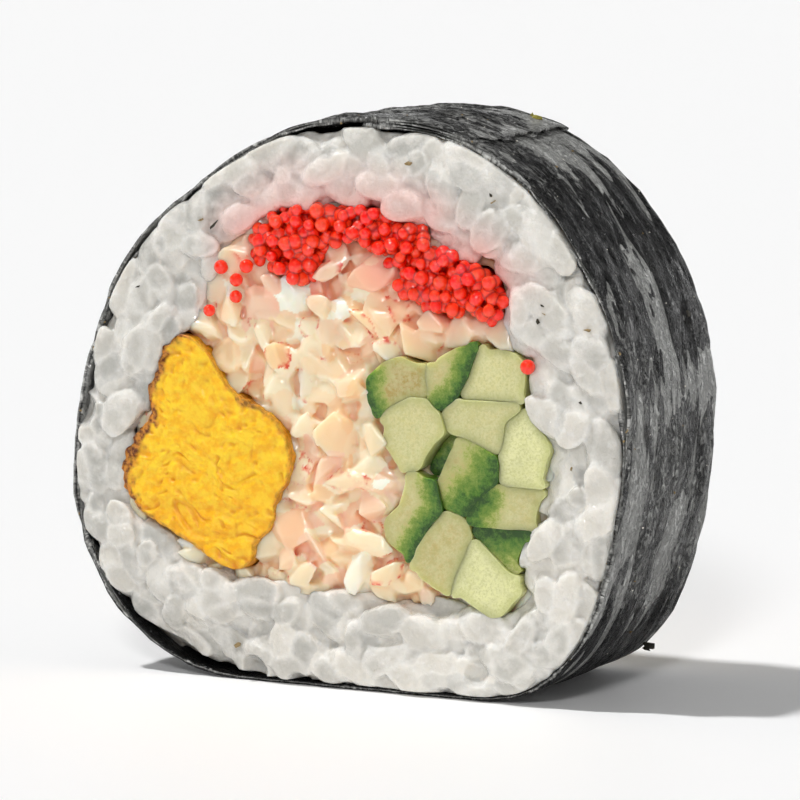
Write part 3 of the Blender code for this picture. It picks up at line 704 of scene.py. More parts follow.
def make_seaweed(along=430, across=122, inside=24):
    """A grid of along by across points outside and a coarser one inside. The outer point is
    line(u) + n(u) * h, where h sums wrinkles long in u and narrow in v, dents of a few millimetres and fine
    bundles. The noise is taken at the turn round the roll, so that both leaves, and both layers of the lap,
    bend together."""
    line = evenly(sheet_line(), along, closed=False)
    for _ in range(8):
        line[1:-1] = (line[:-2] + 2 * line[1:-1] + line[2:]) / 4
    run = np.gradient(line, axis=0)
    run = run / np.hypot(*run.T)[:, None]
    square = np.column_stack([run[:, 1], -run[:, 0]])
    if ((line - RING_MIDDLE) * square).sum() < 0:
        square = -square
    total = np.hypot(*np.diff(line, axis=0).T).sum()
    around_roll = np.arctan2(line[:, 0], line[:, 1] - RING_MIDDLE[1]) * ROLL_RADIUS
    grounded = np.clip(line[:, 1] / 3.0, 0.0, 1.0)[:, None]
    faces, flats = [], []
    for count, depth in ((across, 0.0), (inside, SHEET_THICKNESS)):
        u = np.linspace(0.0, total, along)[:, None] * np.ones((1, count))
        v = np.linspace(-HALF + 0.45, HALF - 0.45, count)[None, :] * np.ones((along, 1))
        at = np.stack([around_roll[:, None] + 0 * v, v, 0 * v], -1)
        # The fibres run a little aslant, and the slant drifts.
        aslant = at + [0.0, 1.0, 0.0] * (0.10 * at[..., :1] + 1.2 * noise(at, 14.0, 11)[..., None])
        height = 0.32 * rough(aslant / [14.0, 3.2, 1.0], 1.0, 2, 21)
        height = height + 0.30 * rough(at / [5.0, 3.8, 1.0], 1.0, 2, 31)
        if depth == 0.0:
            height = height + 0.22 * ridges(aslant / [6.5, 1.9, 1.0], 1.0, 61) - 0.1
            height = height + 0.13 * rough(aslant / [1.8, 0.8, 1.0], 1.0, 2, 65)
            height = np.maximum(height, -0.1 - 0.5 * np.clip((HALF - 1.0 - np.abs(v)) / 2.0, 0.0, 1.0))
        rag = 0.30 * rough(np.stack([u / 1.1, np.sign(v) * 40.0, 0 * u], -1), 1.0, 3, 41)
        edge = np.clip((np.abs(v) / HALF - 0.8) / 0.2, 0.0, 1.0)
        torn = 1.5 * rough(np.stack([0 * v, v / 3.0, 0 * v], -1), 1.0, 4, 51)
        torn = torn * np.clip(1.0 - u / 4.0, 0.0, 1.0)
        flat = line[:, None, :] + torn[..., None] * run[:, None, :]
        # The end that shows thins out and lies down on the layer below.
        lies = 0.16 * np.clip(1.0 - u / 3.0, 0.0, 1.0) ** 2 + 0.12 * np.clip(1.0 - u / 6.0, 0.0, 1.0)
        rise = height * grounded - depth - (lies if depth == 0.0 else 0.4 * lies)
        flat = flat + square[:, None, :] * rise[..., None]
        flat[..., 1] = np.maximum(flat[..., 1], 0.03 if depth == 0.0 else 0.2)
        faces.append(np.stack([flat[..., 0], v + rag * edge, flat[..., 1]], -1))
        flats.append(np.stack([u, v], -1))
    # One row of the closed tube goes across the outer face and back across the inner one.
    wide = across + inside
    points = np.concatenate([faces[0], faces[1][:, ::-1]], 1).reshape(-1, 3)
    quads = grid_faces(along, wide)
    ends = []
    for row in (0, (along - 1) * wide):
        # The inner row is coarser: each outer point joins the inner point at the same share of the width.
        inner = np.round(np.arange(across) * (inside - 1) / (across - 1)).astype(int)
        a, b = row + np.arange(across), row + wide - 1 - inner
        back = np.column_stack([a[:-1], b[1:], b[:-1]])[inner[1:] != inner[:-1]]
        ends += [np.column_stack([a[:-1], a[1:], b[1:]]), back]
    made = build("seaweed_sheet", points, quads, np.vstack(ends), material=seaweed_finish)
    outward_faces(made)
    flat = np.concatenate([flats[0], flats[1][:, ::-1]], 1).reshape(-1, 2)
    corners = np.empty(len(made.data.loops), np.int32)
    made.data.loops.foreach_get("vertex_index", corners)
    made.data.uv_layers.new(name="sheet").data.foreach_set("uv", flat[corners].astype(np.float32).ravel())
    # Painted shade darkens the sheet in patches, mostly high on the right and under the slice.
    at = points_of(made)
    middle = np.exp(-((at[:, 0] - 20.5) ** 2 + (at[:, 2] - 36.0) ** 2) / 60.0)
    under = np.clip((9.5 - at[:, 2]) / 5.5, 0.0, 1.0)
    damp = np.clip(middle + under + 0.25 * noise(at, 6.0, 211), 0.0, 1.0)
    # The inner face, which the rice has left at the lower left, gets painted light: its colour is lifted,
    # partly for the sheet's paler back and partly to stand in for the light it catches.
    inner_face = np.tile(np.arange(wide) >= across, along)
    keep_numbers(made, damp=np.where(inner_face, -0.55, damp))
    return place(made, "seaweed", "seaweed")


seaweed = make_seaweed()

# %% [markdown]
# ### Rolled omelette
# The omelette is egg cooked in thin layers and rolled, so its cut shows wavy lines, small holes and a warm
# yellow, with shade painted deeper in the holes, between the folds and low down. Its outside was against the
# pan and is browned and craggy.

# %% Omelette finish
def make_omelette_finish():
    made, tree = new_finish(
        "rolled_omelette", Roughness=0.42, IOR=1.42, Subsurface_Weight=0.5, Subsurface_Scale=0.5 * MM,
        Subsurface_Radius=(1.0, 0.62, 0.2), Coat_Weight=0.12, Coat_Roughness=0.2)
    at = add(tree, "TexCoord")
    fold, brown = (add(tree, "Attribute", {"attribute_name": n}) for n in ("fold", "browned"))
    # The egg is mottled at a millimetre, and the crust is grainy at less than half of that.
    mottle = add(tree, "TexNoise", None, {
        "Vector": at, "Scale": 1 / (0.9 * MM), "Detail": 5.0, "Roughness": 0.65})
    yolk = add(tree, "MapRange", None, {"Value": mottle, "From Min": 0.38, "From Max": 0.56})
    egg = add(tree, "Mix", MIX, {FACTOR: yolk, A: colour("#f6b60e"), B: colour("#fdd02a")})
    # Painted shade: the egg is deeper in colour where the cut is pitted, between the folds and low down.
    deep = add(tree, "Mix", MIX, {FACTOR: fold, A: egg, B: colour("#dc8a08")})
    crust = add(tree, "TexNoise", None, {"Vector": at, "Scale": 1 / (0.4 * MM), "Detail": 4.0})
    grainy = add(tree, "MapRange", None, {"Value": crust, "From Min": 0.4, "From Max": 0.6})
    toast = add(tree, "Mix", MIX, {FACTOR: grainy, A: colour("#6a3008"), B: colour("#d08a30")})
    whole = add(tree, "Mix", MIX, {FACTOR: brown, A: deep, B: toast})
    bump = add(tree, "Bump", None, {"Height": crust, "Strength": 0.6, "Distance": 0.2 * MM})
    return wired(made, Base_Color=whole, Normal=bump)


omelette_finish = make_omelette_finish()

# %% [markdown]
# ## Omelette
# The bar is a tube of closed rows along the roll, and each cut is made of rings that shrink to a pole. Only
# the height of a ring's points changes over the cut, which gives the layers, the holes and the rounded rim.

# %% Bars with rounded ends
def bar_rows(loop, middle, front, back, rim, cap_rings, side_rings):
    """Closed rows from the middle of the front cut, over its rounded rim, along the side and over the back.
    A cap ring is the outline shrunk towards the middle by its share. The rim is a quarter circle."""
    share = np.linspace(0.0, 1.0, cap_rings + 1)[1:]
    turn = np.linspace(0.0, math.pi / 2, 5)[1:]
    reach = np.hypot(*(loop - middle).T).mean()
    flat = share * (1.0 - rim / reach)
    shares = np.concatenate([flat, flat[-1] + np.sin(turn) * rim / reach])
    lift = np.concatenate([np.zeros(cap_rings), (1.0 - np.cos(turn)) * rim])
    side = np.linspace(front + rim, back - rim, side_rings + 2)[1:-1]
    shares = np.concatenate([shares, np.ones(side_rings), shares[::-1]])
    depth = np.concatenate([front + lift, side, back - lift[::-1]])
    at = middle + (loop - middle)[None] * shares[:, None, None]
    return np.stack([at[..., 0], np.broadcast_to(depth[:, None], at.shape[:2]), at[..., 1]], -1), shares


def poles(rows, middle):
    """The middle points of a bar's two cuts, level with the rows next to them."""
    return [np.array([middle[0], rows[k, :, 1].mean(), middle[1]]) for k in (0, -1)]


def make_omelette(columns=420, cap_rings=66, side_rings=22):
    """The omelette bar. On a cut, a point stands out by 0.34 * fold + 0.15 * crumb - 0.2 * pit, and along the
    side it moves out by the crags of the crust."""
    loop = evenly(outline["omelette"], columns)
    loop = rounded(loop + outward(loop) * 0.2, 0.3)
    middle = np.array([-12.2, 17.6])
    rows, shares = bar_rows(loop, middle, -HALF - 0.1, HALF + 0.1, 0.1, cap_rings, side_rings)
    on_cut = np.clip((np.abs(rows[..., 1]) - HALF + 0.6) / 0.6, 0.0, 1.0)
    face = np.sign(rows[..., 1])
    # Fine crumbs and shallow pits cover the cut, wide folds show lower down.
    spot = np.stack([rows[..., 0], face * 30.0, rows[..., 2] + 0.2 * rows[..., 0]], -1)
    warp = np.stack([rough(spot, 2.5, 2, 61), 0 * face, rough(spot, 2.5, 2, 62)], -1) * 0.9
    low = np.clip((17.0 - rows[..., 2]) / 6.0, 0.0, 1.0)
    fold = (ridges((spot + 1.5 * warp) / [3.4, 1.0, 1.1], 1.0, 71) * 0.5 + 0.5) * (0.25 + 0.75 * low)
    crumb = rough((spot + warp) / [0.75, 1.0, 0.6], 1.0, 3, 91)
    pit = np.clip(noise((spot + 1.3 * warp) / [0.65, 1.0, 0.5], 1.0, 81) - 0.38, 0.0, 0.5) * 2.0
    inset = (1.0 - shares)[:, None] * np.hypot(*(loop - middle).T)[None]
    inner = np.clip(inset / 0.25, 0.0, 1.0)
    relief = (0.34 * fold * low + 0.15 * crumb - 0.2 * pit) * inner
    rows[..., 1] += face * on_cut * (relief + 0.15 * (1.0 - shares[:, None] ** 2))
    # The outside is browned and craggy: thickly on the left and at the top, thinly elsewhere.
    square = outward(loop)
    toward = np.clip(-square[:, 0] * 0.85 + square[:, 1] * 0.45 + 0.15, 0.0, 1.0)
    toward = toward * np.clip((loop[:, 1] - 9.0) / 5.0, 0.0, 1.0)
    crag = 0.42 * rough(rows, 0.6, 2, 101) * np.clip(1.0 - inset / 0.5, 0.0, 1.0) * (0.3 + 0.7 * toward)[None]
    rows[..., 0] += square[None, :, 0] * crag
    rows[..., 2] += square[None, :, 1] * crag
    points, quads, fans = closed_rows(rows, *poles(rows, middle))
    at = np.stack([rows[..., 0], face, rows[..., 2]], -1)
    band = (0.25 + 0.85 * toward)[None] * (1.0 + 0.5 * noise(at, 1.6, 111) + 0.6 * noise(at, 0.5, 112))
    browned = np.clip(2.1 - 2.0 * inset / np.maximum(band, 0.1), 0.0, 1.0)
    browned = browned * np.clip(0.5 + toward, 0.0, 1.0)[None]
    # Painted shade for the cut: darker in the pits, between the wide folds and low down, less on the crumbs.
    deep = np.clip(0.12 * low + 0.7 * pit + 0.6 * low * (1.0 - fold) - 0.2 * crumb, 0.0, 1.0) * 0.7
    # The two poles get no painted shade and no browning.
    values = {key: np.pad(grid.ravel(), 1) for key, grid in (("fold", deep), ("browned", browned))}
    made = build("omelette_bar", points, quads, fans, values, omelette_finish)
    outward_faces(made)
    return place(made, "omelette", "omelette")


omelette = make_omelette()

# %% [markdown]
# ### Cucumber
# A baton is cut from the side of a cucumber: watery pale flesh with faint fibres, turning green towards one
# side, where a thin dark skin is left on. Flesh lets light through, and a cut face is wet.

# %% Cucumber finish
def make_cucumber_finish():
    made, tree = new_finish(
        "fresh_cucumber", Roughness=0.24, IOR=1.36, Subsurface_Weight=0.9, Subsurface_Scale=1.8 * MM,
        Subsurface_Radius=(1.0, 1.0, 0.75), Coat_Weight=0.4, Coat_Roughness=0.08)
    at = add(tree, "TexCoord")
    peel, ripe, edge = (add(tree, "Attribute", {"attribute_name": n}) for n in ("peel", "ripe", "edge"))
    # Clouds of 2.4 mm are clearer and greener, veins of 0.6 mm paler, the fine grain is the watery cells, and
    # the edge is a painted shade along the outline.
    watery = add(tree, "TexNoise", None, {"Vector": at, "Scale": 1 / (2.4 * MM), "Detail": 3.0})
    veins = add(tree, "TexNoise", None, {
        "Vector": at, "Scale": 1 / (0.6 * MM), "Detail": 6.0, "Roughness": 0.82})
    cells = add(tree, "TexNoise", None, {
        "Vector": at, "Scale": 1 / (0.22 * MM), "Detail": 3.0, "Roughness": 0.7})
    flesh = add(tree, "Mix", MIX, {FACTOR: ripe, A: colour("#b39c5a"), B: colour("#e4e4ac")})
    for pattern, low, high, most, code in (
            (watery, 0.4, 0.65, 0.45, "#c3c48c"), (veins, 0.42, 0.66, 0.42, "#f0eecb"),
            (cells, 0.45, 0.65, 0.5, "#b4b57c"), (edge, 0.0, 1.0, 0.7, "#abb06a")):
        amount = add(tree, "MapRange", None, {
            "Value": pattern, "From Min": low, "From Max": high, "To Max": most})
        flesh = add(tree, "Mix", MIX, {FACTOR: amount, A: flesh, B: colour(code)})
    uneven = add(tree, "MapRange", None, {
        "Value": veins, "From Min": 0.2, "From Max": 0.8, "To Min": -0.42, "To Max": 0.42})
    depth = add(tree, "Math", {"operation": "ADD"}, {0: peel, 1: uneven})
    bands = add(tree, "ValToRGB", None, {"Fac": depth})
    stops = bands.node.color_ramp.elements
    stops[0].color, stops[1].color = colour("#c8c68a"), colour("#274c10")
    for position, code in ((0.3, "#a9b05e"), (0.55, "#7d963a"), (0.8, "#4f7a22")):
        stops.new(position).color = colour(code)
    green = add(tree, "MapRange", None, {"Value": depth, "From Min": 0.05, "From Max": 0.4})
    whole = add(tree, "Mix", MIX, {FACTOR: green, A: flesh, B: bands})
    bump = add(tree, "Bump", None, {"Height": veins, "Strength": 0.3, "Distance": 0.12 * MM})
    return wired(made, Base_Color=whole, Normal=bump)


cucumber_finish = make_cucumber_finish()

# %% [markdown]
# ## Cucumber batons
# For each baton one direction says where its skin is, how deep the green goes, how ripe its flesh is and how
# far it stands out of the cut. The rest is worked out from the outline of its solid.

# %% Cut the batons
# Skin direction (x, z), depth of the green in mm, ripeness from 0 to 1, and how far it stands out in mm.
BATON_LOOKS = {
    "cucumber_1": ((-0.95, -0.3), 2.2, 0.0, 0.0), "cucumber_2": ((0.0, 0.0), 0.0, 0.6, 0.12),
    "cucumber_3": ((0.8, -0.6), 2.4, 0.35, 0.06), "cucumber_4": ((0.0, 0.0), 0.0, 0.7, 0.0),
    "cucumber_5": ((0.0, 0.0), 0.0, 0.6, 0.05), "cucumber_6": ((0.0, 0.0), 0.0, 0.95, 0.1),
    "cucumber_7": ((0.7, -0.7), 4.2, 0.15, 0.0), "cucumber_8": ((-0.3, -0.9), 6.5, 0.0, -1.8),
    "cucumber_9": ((0.95, -0.3), 2.4, 0.3, 0.0), "cucumber_10": ((-1.0, -0.2), 2.8, 0.45, 0.04),
    "cucumber_11": ((-0.3, 0.9), 4.6, 0.5, -0.12), "cucumber_12": ((0.0, 0.0), 0.0, 0.25, 0.1),
    "cucumber_13": ((0.0, 0.0), 0.0, 1.0, 0.16),
}


def make_baton(node, number, columns=120, cap_rings=14, side_rings=12):
    """A bar with crisp, slightly eased corners, a faint slant of the cut and a knife's small waves on it."""
    skin, depth, ripe, proud = BATON_LOOKS[node]
    rng = np.random.default_rng(200 + number)
    loop = rounded(pressed(evenly(outline[node], columns), [n for n in batons if n != node]), 0.12)
    middle = loop.mean(0)
    rows, shares = bar_rows(loop, middle, -HALF - proud, HALF + proud, 0.04, cap_rings, side_rings)
    face = np.sign(rows[..., 1])
    slant = rng.uniform(-0.09, 0.09, 2)
    lean = (rows[..., 0] - middle[0]) * slant[0] + (rows[..., 2] - middle[1]) * slant[1]
    cut = np.clip((np.abs(rows[..., 1]) - HALF + 2.0) / 2.0, 0.0, 1.0)
    spot = rows + [0.0, 50.0 * number, 0.0]
    rows[..., 1] += face * cut * (lean + 0.07 * rough(spot, 1.4, 3, 121))
    wave = 0.10 * rough(spot / [1.0, 2.5, 1.0], 2.0, 2, 131) * shares[:, None]
    square = outward(loop)
    rows[..., 0] += square[None, :, 0] * wave
    rows[..., 2] += square[None, :, 1] * wave
    points, quads, fans = closed_rows(rows, *poles(rows, middle))
    peel = np.zeros(len(points))
    if depth:
        # The skin is the part of the outline that faces the given way; the green fades inwards from it.
        skin_line = loop[outward(loop) @ np.array(skin) > 0.55]
        away = np.hypot(*(points[:, None, [0, 2]] - skin_line[None]).transpose(2, 0, 1)).min(1)
        bend = 0.3 * noise(points / [1.0, 3.0, 1.0], 1.5, 141 + number)
        peel = np.clip(1.0 - (away + bend - 0.1) / depth, 0.0, 1.0)
    # Painted shade: the cut darkens towards its outline, where the batons meet.
    edge = np.clip(1.0 - clearance(points[:, [0, 2]], loop) / 0.95, 0.0, 1.0) ** 1.3
    values = {"peel": peel, "ripe": np.full(len(points), ripe), "edge": edge}
    made = build("baton_" + node.split("_")[1], points, quads, fans, values, cucumber_finish)
    outward_faces(made)
    return place(made, "cucumber", node)


baton_pieces = [make_baton(node, k) for k, node in enumerate(batons)]

# %% [markdown]
# ### Crab meat and roe
# Crab stick is pressed fish: moist, fibrous and a little see-through, cream to peach, with some chalky white
# pieces and red on what was the outside. Roe is a drop of red-orange oil and water in a thin clear skin, so
# it shines and glows, and shade is painted deep red where beads crowd together. The crab's hollows get a
# painted shade of deeper orange.

# %% Crab and roe finishes
def make_crab_finish():
    made, tree = new_finish(
        "shredded_crab_stick", Roughness=0.3, IOR=1.4, Subsurface_Weight=1.0, Subsurface_Scale=2.0 * MM,
        Subsurface_Radius=(1.0, 0.82, 0.66), Coat_Weight=0.35, Coat_Roughness=0.12)
    at = add(tree, "TexCoord")
    tone, pink, red, chalk, dim = (
        add(tree, "Attribute", {"attribute_name": n}) for n in ("tone", "stain", "red", "chalk", "dim"))
    # Red stays on the edges of a few flakes, in streaks of 0.8 mm.
    fibre = add(tree, "TexNoise", None, {"Vector": at, "Scale": 1 / (0.8 * MM), "Detail": 4.0})
    spotty = add(tree, "MapRange", None, {"Value": fibre, "From Min": 0.45, "From Max": 0.6})
    streak = add(tree, "Math", {"operation": "MULTIPLY"}, {0: red, 1: spotty})
    meat = add(tree, "Mix", MIX, {FACTOR: tone, A: colour("#fdcda0"), B: colour("#fee6c8")})
    # The last mix is a painted shade: a deeper orange in the hollows behind the cut.
    for amount, code in ((chalk, "#fff4e2"), (pink, "#f9b09a"), (streak, "#d8321c"), (dim, "#e9995a")):
        meat = add(tree, "Mix", MIX, {FACTOR: amount, A: meat, B: colour(code)})
    bump = add(tree, "Bump", None, {"Height": fibre, "Strength": 0.45, "Distance": 0.12 * MM})
    return wired(made, Base_Color=meat, Normal=bump)


def make_roe_finish():
    made, tree = new_finish(
        "small_fish_roe", Roughness=0.1, IOR=1.36, Subsurface_Weight=1.0,
        Subsurface_Scale=0.5 * MM, Subsurface_Radius=(1.0, 0.22, 0.1), Coat_Weight=0.8, Coat_Roughness=0.06)
    at = add(tree, "TexCoord")
    tone, crease = (add(tree, "Attribute", {"attribute_name": n}) for n in ("tone", "crease"))
    # Oil drops inside a bead make lighter spots of less than half a millimetre.
    drops = add(tree, "TexNoise", None, {"Vector": at, "Scale": 1 / (0.4 * MM), "Detail": 2.0})
    oily = add(tree, "MapRange", None, {"Value": drops, "From Min": 0.5, "From Max": 0.7, "To Max": 0.4})
    # Painted shade: the creases between crowded beads are painted deep red.
    deep = add(tree, "MapRange", None, {"Value": crease, "From Min": 0.15, "To Max": 0.95})
    bead = add(tree, "Mix", MIX, {FACTOR: tone, A: colour("#f6160a"), B: colour("#ff441a")})
    for amount, code in ((oily, "#ff6c30"), (deep, "#a00402")):
        bead = add(tree, "Mix", MIX, {FACTOR: amount, A: bead, B: colour(code)})
    bump = add(tree, "Bump", None, {"Height": drops, "Strength": 0.25, "Distance": 0.08 * MM})
    return wired(made, Base_Color=bead, Normal=bump)


crab_finish, roe_finish = make_crab_finish(), make_roe_finish()

# %% [markdown]
# ## Crab meat
# Each flake is a small chip with flat, torn sides: the closed hull of a few corners scattered on a stretched
# ball. A few hundred flakes in layers are melted to one skin at each cut, as the rice is, and smoothed until
# their edges look moist. They are pinker by the roe, and some are chalky white.

# %% Flakes
def random_turns(count, rng):
    """Random rotations, as three unit rows each, from unit quaternions."""
    parts = rng.normal(size=(4, count))
    w, x, y, z = parts / np.linalg.norm(parts, axis=0)
    return np.stack([
        np.stack([1 - 2 * (y * y + z * z), 2 * (x * y - w * z), 2 * (x * z + w * y)], -1),
        np.stack([2 * (x * y + w * z), 1 - 2 * (x * x + z * z), 2 * (y * z - w * x)], -1),
        np.stack([2 * (x * z - w * y), 2 * (y * z + w * x), 1 - 2 * (x * x + y * y)], -1)], 1)


def directions(rows, columns):
    """Unit vectors over a ball, from pole to pole."""
    lat = np.linspace(0.0, math.pi, rows + 2)[1:-1, None]
    lon = np.linspace(0.0, 2 * math.pi, columns, endpoint=False)
    ring = np.stack([np.sin(lat) * np.cos(lon), np.sin(lat) * np.sin(lon), np.cos(lat) + 0 * lon], -1)
    return np.vstack([[0.0, 0.0, 1.0], ring.reshape(-1, 3), [0.0, 0.0, -1.0]])


def hull(shell, points):
    """Adds the closed hull of a few points."""
    corners = [shell.verts.new(p * MM) for p in points]
    bmesh.ops.convex_hull(shell, input=corners)
    bmesh.ops.delete(shell, geom=[v for v in corners if v.is_valid and not v.link_faces], context="VERTS")


def on_balls(sizes, low, high, corners, rng):
    """A few random corners for each piece, from low to high of the way out on a ball of its half sizes."""
    ways = rng.normal(size=(len(sizes), corners, 3))
    ways /= np.linalg.norm(ways, axis=2, keepdims=True)
    return ways * rng.uniform(low, high, (len(sizes), corners, 1)) * sizes[:, None, :]


def chips(centres, axes, sizes, planes, side, rng, corners=13):
    """A mesh of closed chips. Each is the hull of a few corners set at random on a ball that is stretched to
    the chip's size, with what passes the knife's plane pressed down."""
    local = on_balls(sizes, 0.85, 1.15, corners, rng)
    points = centres[:, None, :] + np.einsum("cpk,ckj->cpj", local, axes)
    points = kept_between(knife(points, planes, side, 0.12), None, evenly(rice_inner, 200))
    shell = bmesh.new()
    for chip in points:
        hull(shell, chip)
    return as_mesh(shell, "chips")


def room_round(spots):
    """How far spots in the filling are from the rice, and from the other fillings, the nearest first."""
    others = np.stack([-clearance(spots, outline[n]) for n in ["omelette", "roe", *batons]])
    return clearance(spots, evenly(rice_inner, 120)), np.sort(others, 0)


def lay_flakes(side, rng):
    """Centres, axes, half sizes and cut planes of the flakes at one cut. None lies between two batons."""
    sets = []
    for spacing, low, high, need in ((2.0, -1.3, -0.8, 0.0), (2.1, -0.7, -0.2, 0.35), (2.9, -0.1, 0.45, 0.8)):
        spots = scatter(rice_inner.min(0), rice_inner.max(0), spacing, rng, 0.42)
        rice, others = room_round(spots)
        roe = -clearance(spots, outline["roe"])
        kept = (rice > need - 0.4) & (others[0] > need) & (others[1] > 1.5) & (roe > need + 0.5)
        spots = spots[kept]
        count = len(spots)
        size = rng.uniform(0.7, 1.2, (count, 1)) * np.array([2.5, 1.75, 1.15])
        size = size * rng.uniform(0.85, 1.15, (count, 3))
        plane = HALF + rng.uniform(low, high, count)
        middle = np.column_stack([spots[:, 0], side * (plane - 0.5 * size[:, 1]), spots[:, 1]])
        sets.append((middle, random_turns(count, rng), size, plane))
    return [np.concatenate(parts) for parts in zip(*sets)]


def make_crab(name, side, seed):
    """One cut's crab meat: flakes melted to the front of a thin slab of the core."""
    rng = np.random.default_rng(seed)
    *flakes, planes = lay_flakes(side, rng)
    loose = chips(*flakes, planes, side, rng)
    depth = sorted((side * (HALF - 1.3), side * (HALF - 3.2)))
    made = melted(name, [loose, cut_back("crab_meat", *depth)], 0.155, 7, side * (HALF - 2.6), -side)
    points = points_of(made)
    owner, border = nearest_piece(points, *flakes)
    by_roe = np.clip(1.0 + clearance(points[:, [0, 2]], evenly(outline["roe"], 60)) / 4.0, 0.0, 1.0)
    count = len(planes)
    luck = rng.uniform(size=count)
    chalk = np.where(luck < 0.13, rng.uniform(0.3, 1.0, count), 0.0)[owner]
    blush = np.where(luck > 0.82, rng.uniform(0.15, 0.5, count), 0.0)[owner]
    red = np.where((luck > 0.3) & (luck < 0.42), 1.0, 0.0)[owner] * border
    # Painted shade: what lies further back than the cut gets a deeper orange.
    hollow = np.clip((HALF - 0.8 - side * points[:, 1]) / 1.5, 0.0, 1.0)
    pink = np.clip(0.8 * by_roe + blush, 0, 1) * (1 - chalk)
    tone = rng.beta(1.2, 1.0, count)[owner]
    keep_numbers(made, tone=tone, stain=pink, chalk=chalk, red=red, dim=hollow)
    made.data.materials.append(crab_finish)
    return place(made, "crab_meat", "crab_meat")


crab_front = make_crab("crab_meat_front", -1, 8)
crab_back = make_crab("crab_meat_back", 1, 9)
# The hidden core is painted in full shade, as a deeper orange.
crab_core = make_core(
    "crab_core", "crab_meat", 2.7, crab_finish, tone=0.1, stain=0.4, chalk=0.0, red=0.0, dim=1.0)

# %% [markdown]
# ## Roe
# Beads of about 1.2 mm lie in layers, pressed so close that light goes from one to the next. They are melted
# to one skin as the rice is, with finer voxels, so the crowd glows, and its creases get a painted shade of
# deep red. A few loose beads have rolled on to the crab meat.

# %% Beads
LOOSE_BEADS = [(-12.3, 31.0), (-9.9, 32.3), (-9.9, 33.7), (-9.0, 34.9), (-11.3, 34.7), (16.4, 28.1)]


def before_cut(spots, gap):
    """Spots (x, z) set this far in front of the front cut."""
    return np.array([(x, -HALF - gap, z) for x, z in spots])


def ball_mesh(name, centres, radii, rows=7, columns=12):
    """Closed balls as one mesh. Each bead's point is its centre plus its radius times a direction."""
    points = centres[:, None, :] + directions(rows, columns)[None] * radii[:, None, None]
    return build(name, points.reshape(-1, 3), *many(len(centres), rows, columns))


def make_roe(name, side, seed):
    """One cut's beads in three layers, melted to the front of a slab of the core."""
    rng = np.random.default_rng(seed)
    band = outline["roe"] + outward(outline["roe"]) * 0.8
    low, high = band.min(0), band.max(0)
    layers = []
    for deep, shallow, need in ((-1.0, -0.75, 0.1), (-0.5, -0.15, 0.15), (0.05, 0.35, 0.5)):
        spots = scatter(low, high, 1.1 if need < 0.4 else 1.4, rng, 0.3)
        spots = spots[(clearance(spots, band) > need) & (clearance(spots, rice_inner) > -0.3)]
        depth = side * (HALF + rng.uniform(deep, shallow, len(spots)))
        layers.append(np.column_stack([spots[:, 0], depth, spots[:, 1]]))
    centres = np.concatenate(layers)
    radii = rng.uniform(0.46, 0.64, len(centres))
    loose = ball_mesh("loose", centres, radii)
    slab = cut_back("roe", *sorted((side * (HALF - 0.9), side * (HALF - 2.8))))
    made = melted(name, [loose.data, slab], 0.115, 1, side * (HALF - 2.2), -side)
    bpy.data.objects.remove(loose)
    straight = np.broadcast_to(np.eye(3), (len(centres), 3, 3))
    owner, border = nearest_piece(points_of(made), centres, straight, np.repeat(radii[:, None], 3, 1))
    keep_numbers(made, tone=rng.beta(1.1, 1.3, len(centres))[owner], crease=border)
    made.data.materials.append(roe_finish)
    return place(made, "roe", "roe")


roe_front = make_roe("roe_front", -1, 12)
roe_back = make_roe("roe_back", 1, 13)
# The core behind the beads gets half of the painted shade of the creases.
roe_core = make_core("roe_core", "roe", 2.3, roe_finish, tone=0.0, crease=0.5)
spots = before_cut(LOOSE_BEADS, 0.3)
roe_loose = ball_mesh("roe_loose", spots, np.linspace(0.52, 0.64, len(spots)), 9, 14)
keep_numbers(roe_loose, tone=np.full(len(roe_loose.data.vertices), 0.4))
roe_loose.data.materials.append(roe_finish)
outward_faces(roe_loose)
place(roe_loose, "roe", "roe")

# %% [markdown]
# ## Crumbs and specks
# A real slice carries small things: pale points of salt and starch on the seaweed, brown bits of bran, torn
# scraps of seaweed on the rice, a green crumb on top. Each is a small hull of a few corners.

# %% Small bits
# Where single bits of bran and scraps of seaweed lie on the front cut, as (x, z) in mm.
BRAN = [(17.8, 32.5), (13.0, 41.4), (-9.0, 3.0), (20.5, 20.0), (21.6, 31.5), (-13.2, 38.6), (5.6, 44.3)]
SCRAPS = [(17.6, 33.2), (-12.0, 38.2), (12.8, 42.0), (17.2, 31.9), (-18.9, 32.6), (3.5, 5.9), (21.2, 25.5)]
# The place and the half sizes of larger scraps at the right and of the crumbs on top.
TORN = [((20.0, 9.6, 2.5), (0.8, 0.45, 0.3)), ((19.4, 10.2, 2.2), (0.5, 0.4, 0.3)),
        ((23.9, 6.0, 31.5), (0.4, 0.3, 0.2)), ((24.3, -2.0, 20.5), (0.3, 0.3, 0.2))]
CRUMBS = [((9.0, 8.2, 47.0), (0.95, 0.6, 0.45)), ((8.3, 8.6, 47.1), (0.5, 0.5, 0.4))]


def make_speck_finish(name, first, second, rough_by):
    """Two colours mixed by a noise of a quarter of a millimetre."""
    made, tree = new_finish(name, Roughness=rough_by, IOR=1.45)
    spots = add(tree, "TexNoise", None, {
        "Vector": add(tree, "TexCoord"), "Scale": 1 / (0.25 * MM), "Detail": 3.0})
    mixed = add(tree, "Mix", MIX, {FACTOR: spots, A: colour(first), B: colour(second)})
    bump = add(tree, "Bump", None, {"Height": spots, "Strength": 0.4, "Distance": 0.05 * MM})
    return wired(made, Base_Color=mixed, Normal=bump)


